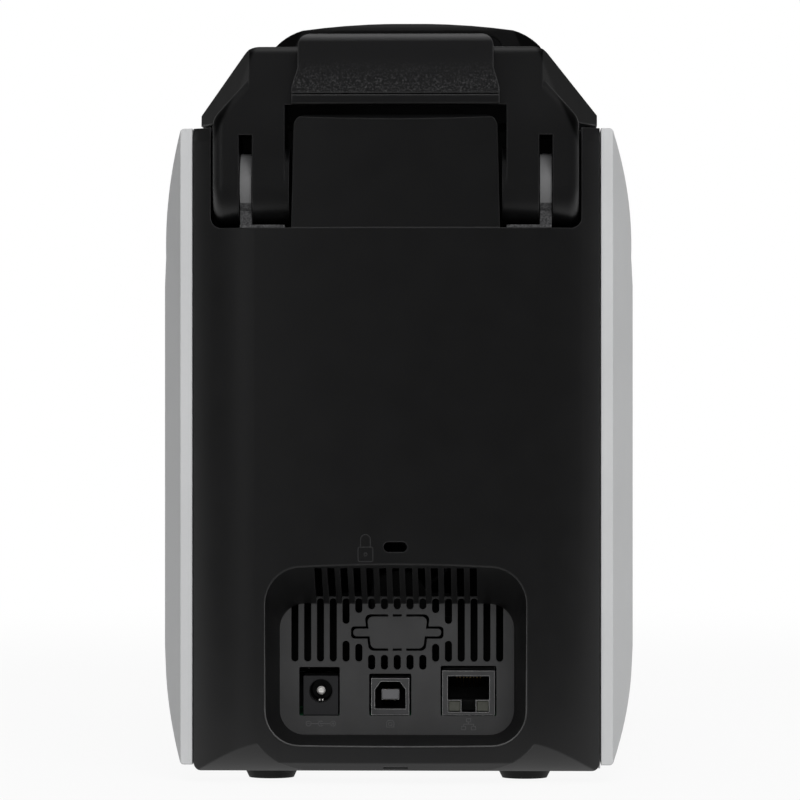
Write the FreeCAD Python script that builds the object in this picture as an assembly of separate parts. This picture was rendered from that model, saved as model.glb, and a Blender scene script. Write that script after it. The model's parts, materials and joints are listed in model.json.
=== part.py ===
"""Desktop id card printer: every piece as its own solid, in millimetres.

X runs across the machine, Y from the front (-) to the back (+), Z up.
The origin is under the middle of the machine, on the surface that it stands on.
Its length adds up along the card's path, and its width outwards from the card.
"""
import FreeCAD
import Part
import math
import os

vec = FreeCAD.Vector

# Card and common stock
card_wide = 54.0
card_long = 86.0
card_thick = 0.8
wall = 2.5                  # moulded covers
sheet = 1.5                 # steel plates
air = 0.3                   # gap between a moving piece and its neighbour
fit = 0.05                  # radial clearance of a running bore
seam = 0.4                  # gap between covers and side panels
over = 1.0                  # cutting tools run this far past a face

# Length: each station along the card's path is measured from the one before
front_room = 45.0           # front crown to the feeder
feeder_play = 8.0           # feeder longer than a card
pick_before = 16.0          # pick roller, ahead of the feeder's back wall
pick_to_clean = 35.0
clean_to_feed = 45.0
feed_to_head = 50.0
head_to_exit = 45.0
exit_to_rear = 68.0         # exit roller to the rear crown

# Width: each half width is measured from the one inside it
feeder_clear = 1.0
feeder_wall = 2.0
frame_room = 13.0           # card's edge to the inner face of a side plate
drive_room = 21.0           # side plate to the outer face of the covers

# Heights
foot_height = 3.0
cover_bottom = 3.5          # lower edge of the rear and front covers
body_top = 196.3            # top edge of panels and cover posts
path_z = 126.0              # lower face of a card on its way

# Crowned ends of the covers, seen from above
flat_set = 19.0             # the nearly flat stretch ends this far from the cover's side
flat_drop = 2.5             # how far it falls back at its ends
corner_drop = 9.5           # further fall of the corner arc
corner_bulge = 1.85         # height of the corner arc over its chord
end_depth = 28.0            # from the crown to the cover's inner edge
turn_under = 11.0           # the lower skirt draws in by this much
turn_height = 22.0          # and starts this far above the cover's edge
turn_bulge = 3.4
low_corner = 2.5            # rounding of the cover's lower corners

# Side panels
rim_width = 3.6             # flat rear and front rim
rim_back = 13.0             # rim, behind the crown of the cover
bevel_out = 6.5             # the bevel widens the panel by this much
bevel_depth = 25.0
panel_crown = 1.5           # crown of the long side
panel_bottom = 5.1
low_bevel = 25.6            # height of the lower bevel
high_bevel = 38.0           # height of the upper bevel
low_bow = 0.9               # bulges of the side from bottom to top
upright_crown = 1.9
high_bow = 1.8
panel_corner = 1.5
waist = 0.5                 # the side draws in by this much at the bevels

# Hinge of the lid
hinge_back = 13.0           # hinge axis, forward of the rear crown
hinge_drop = 17.8           # hinge axis under the top of the body
barrel = 11.6               # radius of the arm's barrel
post_wide = 5.5             # cover post beside each arm
arm_gap = 0.8               # between an arm and the notch that it turns in
arm_wide = 21.6
barrel_more = 1.3           # the barrel is this much longer than the arm's cheek
lug_in = 9.9                # middle of the bracket's lug, from the arm's outer face
lug_thick = 3.5
lug_radius = 10.1
riser_front = 8.0
riser_back = 7.0
riser_drop = 5.0            # top of the riser, under the hinge axis
foot_strip = 0.9            # thickness of the bracket's foot on the notch's floor
strip_front = 6.0           # the foot's edges, behind the hinge axis
strip_back = 10.0
strip_out = 1.7             # the foot reaches this far past the lug's middle
slot_width = 4.0
slot_reach = 15.3           # from the hinge axis to the end of the arm's slot
pin_radius = 3.0
pin_inset = (2.0, 1.5)      # pin's ends, inside the arm's inner and outer faces
gusset_rise = 12.8          # the arm runs up into the lid by this much
arm_round = 3.3

# Block between the hinge arms, and the cover's posts
block_gap = 2.8             # from an arm to the block at its top
block_flare = 0.8
block_rise = 3.5            # block over the top of the body
block_depth = 21.0
block_round = 3.6
block_set = 0.4             # the block's face lies this far inside the crown
block_reach = 23.6          # its top stays this near the hinge axis
post_reach = 18.3           # and the top of each post this near
post_chamfer = 1.9
post_slope = 3.9            # height of the chamfer on top of a post

# Recess for the sockets
plate_set = 4.7             # bottom of the recess, inside the side plates
recess_flare = 4.65         # the mouth is wider than the bottom by this much each side
recess_low = 11.2
recess_high = 66.6
recess_round = 11.0
plate_low = 13.8
plate_high = 53.3
plate_round = 7.5
recess_depth = 18.0
boss_rim = 5.05             # surround that stays upright down to the edge
boss_round = 19.0
boss_high = 76.0
boss_lift = 0.8             # lower edge of the surround over that of the cover
boss_chamfer = 2.2
slot_pitch = 3.86           # louvres of the port plate and the recess
slot_wide = 2.15
recess_slots = 13
vent_back = 1.9             # louvres in the recess's top wall, from the crown
lock_height = 70.95
lock_long = 7.0
lock_high = 3.0
grip_half = 3.7             # finger notch in the lower edge
grip_high = 1.1

# Port plate and the openings for its sockets
plate_thick = 2.0
port_floor = 19.5           # lower edge of every socket's opening
port_corner = 0.5
power_x = 23.35
power_wide = 12.2
power_high = 14.7
usb_x = 2.0
usb_wide = 12.7
usb_high = 12.7
lan_x = -21.6
lan_wide = 16.8
lan_high = 15.1
knock_x = -0.1              # middle of the knock-out and of the louvres
knock_z = 44.6
knock_groove = 0.7
knock_top = 9.5             # half widths of the blank
knock_bottom = 8.2
knock_half = 5.15           # half its height
knock_corner = 1.6
knock_ear = (13.6, 1.5, 1.1)
knock_tab = (2.05, 0.7)     # place and half width of the tabs that hold the blank
louvre_near = (33.4, 37.9, 51.6)
louvre_step = (35.8, 41.2, 50.5)
louvre_edge = (35.8, 42.1, 47.2)
louvre_low = 35.8
louvre_columns = (3, 1, 1, 4)

# Lid
lid_gap = 2.4               # over the side panels
lid_set_in = 0.3            # side of the lid, inside the covers' side
lid_side = 3.2              # upright side of the lid
lid_rise = 21.9             # shoulder over the lid's lower edge
shoulder_in = 11.2          # shoulder, inside the arm's outer face
shoulder_round = 7.0
lid_set = 1.4               # rear face of the lid, forward of the crown, at its lower edge
lid_lean = 6.1              # the rear face leans forward by this much
lean_round = 30.0
lid_sweep = 42.5            # the side facets run forward by this much
nose_set = 4.0              # nose of the lid, behind the front crown
nose_corner = 13.0
nose_rise = 3.0
deck_break = 273.0          # from the rear crown to where the lid's top turns down
dome_set = 156.0            # from the rear crown to the hood's rear wall
dome_rise = 19.1            # hood over the shoulder
dome_flat_in = 8.6          # its gently crowned top ends this far inside the shoulder
dome_crown = 2.5
dome_out = 0.2              # its corner arc ends this far outside the shoulder
dome_side_drop = 7.9
dome_bulge = 0.7
dome_lean = 4.0
dome_falls = ((243.0, 1.0, 80.0), (323.0, 14.0, 50.0))
cap_in = 1.1                # spine cap, inside the block's width at its top
cap_flare = 1.8
cap_rise = 3.0              # its lower edge over the top of the block
cap_high = 21.3
cap_step = (5.0, 11.0)      # its side draws in between these heights
cap_set = 0.5               # rear face of the cap, forward of the crown
cap_lean = 2.6
cap_groove = (2.9, 0.5, 1.2)
cap_front = 3.0
pocket_in = 7.5             # shallow step in the hood's rear wall, inside the shoulder
pocket_deep = 3.5
pocket_rise = 3.4
pocket_drop = 2.2           # top of the pocket, under the top of the hood

# Tray and feet
foot_x = 38.5
foot_back = 32.0            # middle of a foot, from the crown
foot_wide = 8.3             # radius at the seat
foot_narrow = 6.8
flange_high = 18.0
tray_wall = 2.0
post_in = 6.0               # posts under the main board, inside the side plates
post_back = (35.0, 115.0)
post_radius = 3.0

# Front cover with the feeder door, the output flap, the display and the keys
door_low = 131.0
door_high = 189.0
door_thick = 3.0
flap_low = 17.0
flap_high = 76.0
leaf_pin = 1.2              # radius of the pins that a door or flap turns on
leaf_lug = 2.6              # thickness of the lug round each pin
lug_from = 2.0              # lugs and posts start this far behind the crown
lug_deep = 10.0
lug_half = 4.0
lip_half = 14.0             # finger lip on the inner upper edge of a door or flap
lip_from = 2.2
lip_to = 8.0
lip_drop = (4.0, 1.5)
window_half = 17.0
window_low = 101.0
window_high = 120.0
window_round = 2.0
window_play = 0.2
window_cell = (3.0, 2.0)    # display cell, inside the window's edges
key_z = 89.0
key_radius = 4.4
key_proud = 0.1
key_travel = 1.0
key_deep = 7.0
key_collar = (1.6, 1.2)     # length of the collar, and how far it stands out
key_stem = 1.8
key_places = {"key_left": -9.0, "key_right": 9.0, "power_button": 30.0}
switch = (3.0, 1.6)         # half width and thickness of the switch under a key
panel_board = 11.0          # front face of the board behind the keys, from the crown
panel_board_low = 79.0
panel_board_high = 122.0
panel_posts = (37.0, 82.0, 118.0)
panel_post_radius = 2.2
board_thick = 1.6

# Latch in the nose of the lid
latch_half = 10.0
latch_low_rise = 0.5        # the button's edges and pins, over the lid's lower edge
latch_high_rise = 5.1
latch_pin_rise = 4.3
latch_back = 15.0           # its pins, from the front crown
latch_pin = 1.5
latch_barrel = 2.8
latch_proud = 1.0
latch_lug = 2.4
latch_lug_half = 4.0
hook_half = 6.0
hook_drop = 6.3             # hook's end, under the top of the body
hook_thick = (1.0, 1.5)     # hook's stem, in front of the pins and behind them
hook_tip = 2.2
hook_slot = 1.0             # play of the slot that the hook passes, each side
hook_reach = 3.0            # front edge of that slot, in front of the pins
hook_slot_long = 10.0

# Liner of the lid
liner_rise = 0.5            # over the lid's lower edge
liner_thick = 2.0
liner_back = 35.0           # from the rear crown
liner_nose = 14.0
liner_corner = 4.0
rib_high = 6.5
rib_places = (2.0, 17.0, 44.0, 110.0, 72.0, 85.0)
spar_x = 36.0

# Frame: two steel side plates, tie bars and the moulded deck
frame_back = 35.0           # ends of the plates, from the crowns
deck_drop = 8.3             # lower face of the deck, under the top of the body
deck_thick = 2.0
deck_rim = (1.5, 4.0, 14.0)
plate_foot = 12.0
tie_radius = 3.0
tie_shifts = (18.0, -4.0, -10.0, 15.0, -30.0)  # from feeder, diverter, head, exit and head
tie_heights = (100.0, 60.0, 100.0, 100.0, 30.0)
window_front = (3.0, 95.0, 20.0, 95.0)     # opening of a side plate under the feeder
window_back = (40.0, 93.0, 30.0, 88.0)     # and behind the feed motor
window_corner = 8.0
bay_in = 2.0                # opening of the deck over the ribbon, inside the plates
bay_round = 4.0
bay_margin = (18.0, 26.0)   # past the take-up and the supply spool

# Card feeder
follower_back = 48.0        # the follower's ears, from the feeder's back wall
follower_thick = 2.5
follower_play = 0.5
follower_lift = 0.3
follower_ends = (8.0, 8.0)
ear_half = 2.0
ear_out = 4.5
ear_low = 1.0
ear_high = 5.0
grip_wide = 8.0
grip_from = 2.0
grip_thick = 3.0
grip_tall = 12.0
feeder_gap = 1.3            # slit that lets one card out
feeder_top = 3.0
wing_long = (8.0, 16.0)     # feeder's wings, from its front and back walls
wing_rise = 24.0
wing_thick = 2.0

# Rollers, with the drive pulleys on the right-hand ends of their shafts
shaft = 3.0                 # radius of the roller shafts
roller = 7.0
journal = 2.0
pinch = 5.0
roller_room = 1.2           # round a roller in the card guide and the feeder
pulley = 7.0
pulley_out = 4.0            # pulley, from the inner face of the side plate
pulley_wide = 6.0
pulley_lip = 0.8
flange = 1.8
belt_thick = 1.2
shaft_more = 1.5
collar_wide = 1.5
collar_round = 2.0
motor_after_feed = 7.5
motor_drop = 42.0           # motor's shaft, under the card's path
motor_half = 17.5
motor_long = 22.0
motor_corner = 4.0
motor_shaft = 2.5
motor_shaft_in = 14.0
motor_collar = 10.9
motor_hole = 11.0

# Card guide, diverter, output chute and hopper
guide_drop = 3.2
guide_thick = 1.6
guide_front = 8.0
guide_back = 38.0
guide_half_gap = 3.0
divert_before = 36.0        # diverter's pins, ahead of the feed roller
divert_drop = 5.6
divert_pin = 2.0
blade_long = 24.0
blade_thick = 1.6
blade_tip = 3.6
divert_room = (3.2, 26.0)
chute_back = 11.0           # upper end of the chute, ahead of the feed roller
chute_long = 29.0
chute_drop = (4.0, 13.0, 59.0)
chute_foot = 2.0
chute_ear = (11.0, 10.0, 19.0)
hopper_play = 0.9
hopper_wall = 2.0
hopper_low = 17.0
hopper_high = 75.0
hopper_sill = 55.0
hopper_front = 9.0          # from the front crown
hopper_back = 26.0          # under the feeder, ahead of its back wall
leg = 5.0
leg_front = 24.0
leg_back = 10.0

# Ribbon: two spools in a frame, the film, and the gears that wind it
spool_rise = 44.0
spool_apart = 42.0          # each spool from the print head
core = 5.0
spool_more = 4.0            # spool over the card's width, each side
supply_wound = 16.0
supply_flange = 17.5
takeup_wound = 6.0
takeup_flange = 10.0
spool_flange = 1.2
gear_module = 0.8
gear_teeth = 40
pinion_teeth = 12
gear_out = 3.5              # gear, from the inner face of the side plate
gear_wide = 3.5
gear_gap = 0.25
root_depth = 1.25
tip_height = 0.9
tooth = ((-0.30, 0), (-0.22, 1), (-0.10, 2), (0.10, 2), (0.22, 1), (0.30, 0))
winder_out = 8.5            # ribbon motor's plate, from the side plate's inner face
winder_half = 12.0
winder_corner = 3.0
winder_can = 11.0
winder_long = 11.5
winder_shaft = 1.5
winder_reach = 17.0
winder_stand = 9.0
cheek_gap = 3.0
cheek_thick = 2.0
cheek_margin = 11.0
cheek_supply = 13.0
cheek_waist = ((26.0, 20.0), (24.0, 42.5))
cheek_rear = ((30.0, 20.0), (22.5, 42.5))
cheek_round = 9.0
cheek_corner = 3.0
guide_bar = 1.6
bars = ((18.0, 5.0), (-19.2, 6.2))          # from the head, and over the card's path
film_thick = 0.2
film_line = ((24.0, 41.0), (15.0, 2.0), (-15.0, 2.0), (-34.0, 42.0))

# Print head, held by a bracket under the lid's liner
head_more = 4.0
head_rise = 2.5             # print edge over the card's path
head_tall = 22.0
head_foot = 3.0
head_deep = 7.0
edge_line = ((-4.0, 3.0), (-1.2, 0.0), (3.0, 0.0), (5.0, 3.0))
head_pin = 1.5
head_pin_rise = 15.0
head_float = 1.5
fin_pitch = 5.4
fin_groove = 2.6
fin_deep = 8.0
fin_half = 6.0
fins = 9
bracket_play = 0.3
bracket_deep = 7.5
bracket_top = 11.0
bracket_low = 9.0
spring_room = 12.0
spring_in = 6.6
spring_wire = 0.5
spring_radius = 3.6
spring_turns = 6

# Electronics at the back
board_in = 2.0              # main board, inside the side plates
board_long = 100.7
board_lift = 0.2            # board's top over the openings' lower edge
chips = ((-12, 6, 49, 67, 1.6), (-30, -18, 71, 79, 1.2), (16, 26, 65, 73, 1.2), (-34, -6, 89, 93, 8.0))
capacitors = (12.0, 22.0, 32.0)
capacitor = (39.0, 4.0, 11.0)
screw_hole = 1.6
power_body = (0.4, 5.25, 11.8, 14.0, 0.6)   # shift, half width, height, depth, set back
power_hole = (7.3, 3.4, 9.0)
power_pin = (1.0, 9.5, 1.5)
usb_body = (5.7, 11.1, 16.0, 0.4)
usb_room = ((4.65, 1.9), (4.65, 7.7), (2.9, 10.1))
usb_deep = 9.0
usb_tongue = (2.6, 4.6, 7.6, 9.5, 1.5)
lan_body = (7.9, 13.4, 21.0, 0.4)
lan_room = (6.3, 4.6, 11.8, 12.0)
lan_latch = (2.15, 0.9)
lan_lamp = (4.25, 1.9, 0.9, 4.4, 2.0)
fan_back = 47.0
fan_z = 54.0
fan_half = 20.0
fan_thick = 10.0
fan_bore = 18.5
fan_corner = 2.5
fan_arm = (1.5, 1.2)
fan_hub = 9.0
fan_pin = (8.0, 1.5)
fan_hole = (16.0, 1.7)
fan_plate_high = 24.0
fan_blades = 7
rotor_hub = 8.6
rotor_gap = 0.6
blade_pitch = 38
blade_half = 0.6
blade_root = 7.0
blade_clear = 0.8

# Screws that hold the side plates to the tray
screw_pitch = 120.0
screw_in = 7.0
screw_head = (2.8, 1.8)

# Stations from front to back
feeder_long = card_long + feeder_play
path_run = pick_to_clean + clean_to_feed + feed_to_head + head_to_exit
depth = front_room + feeder_long - pick_before + path_run + exit_to_rear
rear = depth / 2
front = -rear
feeder_front = front + front_room
feeder_back = feeder_front + feeder_long
pick_y = feeder_back - pick_before
clean_y = pick_y + pick_to_clean
feed_y = clean_y + clean_to_feed
head_y = feed_y + feed_to_head
exit_y = head_y + head_to_exit
hinge_y = rear - hinge_back
tray_end = rear - end_depth
rim_y = rear - rim_back
port_y = rear - recess_depth
frame_end = rear - frame_back
liner_end = rear - liner_back
lid_back = rear - lid_set
lid_nose = front + nose_set
dome_back = rear - dome_set
latch_y = front + latch_back
panel_board_y = front + panel_board
hinge_leaf_y = front + door_thick
board_back = port_y - plate_thick - air
notch_front = hinge_y - barrel - arm_gap
supply_y = head_y + spool_apart
takeup_y = head_y - spool_apart
motor_y = feed_y + motor_after_feed
divert_y = feed_y - divert_before
follower_y = feeder_back - follower_back
fan_y = rear - fan_back
pinion_y = takeup_y + gear_module * (gear_teeth + pinion_teeth) / 2 + gear_gap

# Half widths from the middle outwards
path_half = card_wide / 2
feeder_half = path_half + feeder_clear
door_half = feeder_half + feeder_wall
hopper_half = path_half + hopper_play
spool_half = path_half + spool_more
cheek = spool_half + cheek_gap
head_half = path_half + head_more
bracket_half = head_half + bracket_play
frame_half = path_half + frame_room
frame_out = frame_half + sheet
pulley_from = frame_half + pulley_out
shaft_left = -pulley_from - over
gear_from = frame_half + gear_out
board_half = frame_half - board_in
plate_half = frame_half - plate_set
recess_half = plate_half + recess_flare
boss_half = recess_half + boss_rim
half = frame_half + drive_room
flat_half = half - flat_set
panel_in = half + seam
panel_rim = panel_in + rim_width
panel_out = panel_rim + bevel_out
notch_outer = half - post_wide
arm_outer = notch_outer - arm_gap
arm_inner = arm_outer - arm_wide
lug_middle = arm_outer - lug_in
block_half = arm_inner - block_gap
block_foot = block_half + block_flare
shoulder_half = arm_outer - shoulder_in
lid_half = half - lid_set_in
dome_side = shoulder_half + dome_out
dome_flat = shoulder_half - dome_flat_in
cap_half = block_half - cap_in
pocket_half = shoulder_half - pocket_in
pin_from = arm_inner + pin_inset[0]
pin_to = arm_outer - pin_inset[1]

# Heights from the bottom up
floor_low = foot_height
floor_top = floor_low + wall
board_top = port_floor + board_lift
board_low = board_top - board_thick
roller_z = path_z - roller
pinch_z = path_z + card_thick + pinch
clean_z = path_z + card_thick + roller
motor_z = path_z - motor_drop
divert_z = path_z - divert_drop
spool_z = path_z + spool_rise
head_low = path_z + head_rise
head_high = head_low + head_tall
boss_low = cover_bottom + boss_lift
deck_low = body_top - deck_drop
hinge_height = body_top - hinge_drop
notch_floor = hinge_height - barrel - arm_gap
block_top = body_top + block_rise
lid_low = body_top + lid_gap
lid_shoulder = lid_low + lid_rise
liner_low = lid_low + liner_rise
dome_top = lid_shoulder + dome_rise
cap_low = block_top + cap_rise
cap_top = cap_low + cap_high
pocket_low = lid_shoulder + pocket_rise
latch_low = lid_low + latch_low_rise
latch_high = lid_low + latch_high_rise
latch_z = lid_low + latch_pin_rise
hook_low = body_top - hook_drop

rollers = {"pick": pick_y, "feed": feed_y, "platen": head_y, "exit": exit_y}
sleeved = ("feed", "platen")  # these two have a separate rubber sleeve
pinches = {"pinch_front": feed_y, "pinch_rear": exit_y}
screw_places = (-screw_pitch, 0.0, screw_pitch)
tie_stations = (feeder_front, divert_y, head_y, exit_y, head_y)
ties = [(y + shift, z) for y, shift, z in zip(tie_stations, tie_shifts, tie_heights)]

os.makedirs("parts", exist_ok=True)


def save(name, shape):
    """Write one piece as a STEP file and say what it holds."""
    shape = shape.removeSplitter()
    shape.exportStep("parts/" + name + ".step")
    print(name, len(shape.Solids), round(shape.Volume, 1), shape.isValid())


def box(x0, x1, y0, y1, z0, z1):
    """Block between two opposite corners."""
    return Part.makeBox(x1 - x0, y1 - y0, z1 - z0, vec(x0, y0, z0))


def wide_box(half_width, y0, y1, z0, z1):
    """Block across the middle plane."""
    return box(-half_width, half_width, y0, y1, z0, z1)


def rod_x(x0, x1, y, z, radius):
    return Part.makeCylinder(radius, x1 - x0, vec(x0, y, z), vec(1, 0, 0))


def rod_y(x, y0, y1, z, radius):
    return Part.makeCylinder(radius, y1 - y0, vec(x, y0, z), vec(0, 1, 0))


def rod_z(x, y, z0, z1, radius):
    return Part.makeCylinder(radius, z1 - z0, vec(x, y, z0), vec(0, 0, 1))


def mirrored(shape):
    """The same piece on the other side of the middle plane."""
    return shape.mirror(vec(0, 0, 0), vec(1, 0, 0))


def turned(shape):
    """The rear end's form, at the front."""
    return shape.mirror(vec(0, 0, 0), vec(0, 1, 0))


def both(shape):
    return [shape, mirrored(shape)]


def joined(shapes):
    """One solid, or a group of solids, out of several."""
    return shapes[0].fuse(shapes[1:]).removeSplitter()


def grouped(shapes):
    """Separate solids kept in one file."""
    return Part.makeCompound(shapes)


def wire(points, place):
    """Closed outline. A point is (u, v), with a corner radius as third value,
    or with the bulge of the arc to the next point as fourth value."""
    count = len(points)
    flat = [vec(p[0], p[1], 0) for p in points]
    starts, ends, rounds = [], [], []
    for i, p in enumerate(points):
        radius = p[2] if len(p) > 2 else 0
        if not radius:
            starts.append(flat[i])
            ends.append(flat[i])
            rounds.append(None)
            continue
        before = (flat[i - 1] - flat[i]).normalize()
        after = (flat[(i + 1) % count] - flat[i]).normalize()
        turn = before.getAngle(after) / 2
        reach = radius / math.tan(turn)
        centre = flat[i] + (before + after).normalize() * (radius / math.sin(turn))
        starts.append(flat[i] + before * reach)
        ends.append(flat[i] + after * reach)
        rounds.append(centre + (flat[i] - centre).normalize() * radius)
    edges = []
    for i, p in enumerate(points):
        if rounds[i] is not None:
            edges.append(Part.Arc(*[place(q) for q in (starts[i], rounds[i], ends[i])]).toShape())
        first = ends[i]
        last = starts[(i + 1) % count]
        if (last - first).Length < 1e-6:
            continue
        bulge = p[3] if len(p) > 3 else 0
        if bulge:
            along = (last - first).normalize()
            middle = (first + last) * 0.5 + vec(along.y, -along.x, 0) * bulge
            edges.append(Part.Arc(place(first), place(middle), place(last)).toShape())
        else:
            edges.append(Part.LineSegment(place(first), place(last)).toShape())
    return Part.Wire(edges)


def along_x(points, x0, x1):
    """Outline in Y and Z, carried along X."""
    outline = wire(points, lambda q: vec(x0, q.x, q.y))
    return Part.Face(outline).extrude(vec(x1 - x0, 0, 0))


def along_y(points, y0, y1):
    """Outline in X and Z, carried along Y."""
    outline = wire(points, lambda q: vec(q.x, y0, q.y))
    return Part.Face(outline).extrude(vec(0, y1 - y0, 0))


def along_z(points, z0, z1, lean=0):
    """Outline in X and Y, carried along Z, leaning forward by a given way."""
    outline = wire(points, lambda q: vec(q.x, q.y, z0))
    return Part.Face(outline).extrude(vec(0, -lean, z1 - z0))


def rounded(u0, u1, v0, v1, radius):
    """Corner points of a rectangle with round corners."""
    return [(u0, v0, radius), (u1, v0, radius), (u1, v1, radius), (u0, v1, radius)]


def slot_outline(u, v0, v1, width):
    """Outline of an upright slot with round ends."""
    return rounded(u - width / 2, u + width / 2, v0, v1, width / 2 - 0.01)


def both_ways(points):
    """A half outline and its mirror image."""
    return points + [(-p[0],) + p[1:] for p in points[::-1]]


def strip(points, thick):
    """Outline of a thin bent strip that follows the points on one side."""
    count = len(points)
    shifted = []
    for i, (u, v) in enumerate(points):
        ways = []
        for a, b in ((i - 1, i), (i, i + 1)):
            if a >= 0 and b < count:
                du = points[b][0] - points[a][0]
                dv = points[b][1] - points[a][1]
                length = math.hypot(du, dv)
                ways.append((-dv / length, du / length))
        nu = sum(w[0] for w in ways)
        nv = sum(w[1] for w in ways)
        scale = len(ways) / (nu * nu + nv * nv) * thick
        shifted.append((u + nu * scale, v + nv * scale))
    return list(points) + shifted[::-1]


# Crowned ends of the covers

def end_plan(inset, inner):
    """Plan of a crowned end, drawn in by the inset and closed at an inner edge."""
    y2 = rear - inset
    y1 = y2 - flat_drop
    y0 = y1 - corner_drop
    side = half - inset
    flat = flat_half - inset * flat_drop * 2 / flat_half
    right = [(side, inner), (side, y0, 0, corner_bulge), (flat, y1, 0, flat_drop)]
    left = [(-flat, y1, 0, corner_bulge), (-side, y0), (-side, inner)]
    return right + left


def skirt(inset, y_inner, top):
    """Side profile of a crowned end, with the drawn-in lower edge."""
    low = cover_bottom + inset
    foot = rear - turn_under - inset
    outer = rear + over - inset
    return [(y_inner, low), (foot, low, 0, turn_bulge), (outer, low + turn_height), (outer, top), (y_inner, top)]


def end_solid(inset, inner, top):
    """Crowned end with the drawn-in skirt, as a solid block."""
    plan = along_z(end_plan(inset, inner), cover_bottom + inset, top)
    return plan.common(along_x(skirt(inset, inner, top), -half, half))


def tapered_end(low, high, low_inset, high_inset, inner):
    """Crowned end whose outline draws in from one height to the other."""
    lower = wire(end_plan(low_inset, inner), lambda q: vec(q.x, q.y, low))
    upper = wire(end_plan(high_inset, inner), lambda q: vec(q.x, q.y, high))
    return Part.makeLoft([lower, upper], True, True)


# Rear cover

def recess_loft(grow):
    """Tapering pocket of the socket recess, grown outwards by a wall."""
    wide = rounded(-recess_half - grow, recess_half + grow, recess_low - grow, recess_high + grow,
                   recess_round + grow)
    narrow = rounded(-plate_half - grow, plate_half + grow, plate_low - grow, plate_high + grow,
                     plate_round + grow)
    mouth = wire(wide, lambda q: vec(q.x, rear + over, q.y))
    bottom = wire(narrow, lambda q: vec(q.x, port_y, q.y))
    return Part.makeLoft([mouth, bottom], True, True)


def clear_turn(x0, x1, reach):
    """Space swept behind and above the hinge axis, outside a radius."""
    room = box(x0, x1, hinge_y, rear + over, hinge_height, block_top + over)
    return room.cut(rod_x(x0, x1, hinge_y, hinge_height, reach))


def recess_boss():
    """Surround of the recess, upright to its chamfered lower edge."""
    knee = boss_low + boss_chamfer
    plan = along_z(end_plan(0, tray_end), knee, boss_high)
    foot = tapered_end(boss_low, knee, boss_chamfer, 0, tray_end)
    view = along_y([(-boss_half, boss_low, boss_round), (boss_half, boss_low, boss_round),
                    (boss_half, boss_high), (-boss_half, boss_high)], tray_end, rear + over)
    return plan.fuse(foot).common(view)


def cover_hollow():
    """Room inside the rear cover, its block and the surround of the recess."""
    view = both_ways([(half - wall, cover_bottom + wall), (half - wall, notch_floor - wall),
                      (block_foot - wall, notch_floor - wall), (block_half - wall, block_top - wall)])
    main = end_solid(wall, tray_end - over, block_top).common(along_y(view, tray_end - over, rear))
    inner = boss_half - wall
    low = boss_low + wall
    boss = along_y([(-inner, low, boss_round - wall), (inner, low, boss_round - wall),
                    (inner, boss_high - wall), (-inner, boss_high - wall)], tray_end - over, rear)
    return main.fuse(boss.common(along_z(end_plan(wall, tray_end - over), cover_bottom, boss_high)))


def post_tops():
    """What the chamfers take off the two posts."""
    room = box(notch_outer, half + over, tray_end - over, rear + over, body_top - post_slope, body_top + over)
    lean = post_chamfer * (post_slope + over) / post_slope
    keep = along_z(end_plan(0, tray_end - 2 * over), body_top - post_slope, body_top + over, lean)
    return both(room.cut(keep))


def block_skin():
    """Thin layer off the block's face, so that it lies inside the crown."""
    plan = along_z(end_plan(0, tray_end), notch_floor, block_top + over)
    keep = along_z(end_plan(block_set, tray_end - over), notch_floor - over, block_top + 2 * over)
    return plan.cut(keep).common(wide_box(block_foot + air, port_y, rear + over, notch_floor, block_top + over))


def rear_cover():
    view = both_ways([(half, cover_bottom, low_corner), (half, body_top), (notch_outer, body_top),
                      (notch_outer, notch_floor, arm_round), (block_foot, notch_floor),
                      (block_half, block_top, block_round)])
    body = end_solid(0, tray_end, block_top + over).common(along_y(view, tray_end, rear + over))
    boss = recess_boss()
    body = body.fuse(boss).cut(cover_hollow()).fuse(recess_loft(wall).common(boss)).cut(recess_loft(0))
    apron = box(block_foot - wall, half, tray_end, notch_front, notch_floor - wall, body_top)
    body = joined([body] + both(apron))
    tools = [clear_turn(-notch_outer, notch_outer, block_reach), block_skin()]
    tools += both(clear_turn(notch_outer - over, half + over, post_reach)) + post_tops()
    tools.append(wide_box(block_foot + over - wall, tray_end - over, rear - block_depth,
                          notch_floor + 2 * wall, block_top + over))
    for i in range(recess_slots):
        middle = (i - (recess_slots - 1) / 2) * slot_pitch
        tools.append(box(middle - slot_wide / 2, middle + slot_wide / 2, port_y - over, rear - vent_back,
                         plate_high - wall, recess_high + wall))
    lock = rounded(-lock_long / 2, lock_long / 2, lock_height - lock_high / 2, lock_height + lock_high / 2,
                   lock_high / 2 - 0.01)
    tools.append(along_y(lock, rear - 2 * wall, rear + over))
    tools.append(wide_box(grip_half, rear - 2 * wall, rear + over, 0, boss_low + grip_high))
    return body.cut(tools)


# Port plate, with its sockets' openings, louvres and a knock-out for a serial port

def plate_louvres():
    """Lower and upper ends of the slots in each column, from the middle outwards."""
    behind_edge = plate_high + wall - 3 * air
    columns = []
    for count, ends in zip(louvre_columns, (louvre_near, louvre_step, louvre_edge, (louvre_low,))):
        pairs = [(ends[0], ends[1]), (ends[2], behind_edge)] if len(ends) == 3 else [(ends[0], behind_edge)]
        columns += [pairs] * count
    return columns


def knock_ring(grow):
    """Form of the punched blank with its two ears, grown by half the groove."""
    y0 = port_y - plate_thick - over
    low = knock_z - knock_half - grow
    high = knock_z + knock_half + grow
    bottom = knock_bottom + grow
    top = knock_top + grow
    body = along_y([(knock_x - bottom, low, knock_corner), (knock_x + bottom, low, knock_corner),
                    (knock_x + top, high, knock_corner), (knock_x - top, high, knock_corner)], y0, port_y + over)
    reach, rise, corner = knock_ear
    ears = along_y(rounded(knock_x - reach - grow, knock_x + reach + grow, knock_z - rise - grow,
                           knock_z + rise + grow, corner), y0, port_y + over)
    return body.fuse(ears)


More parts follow.
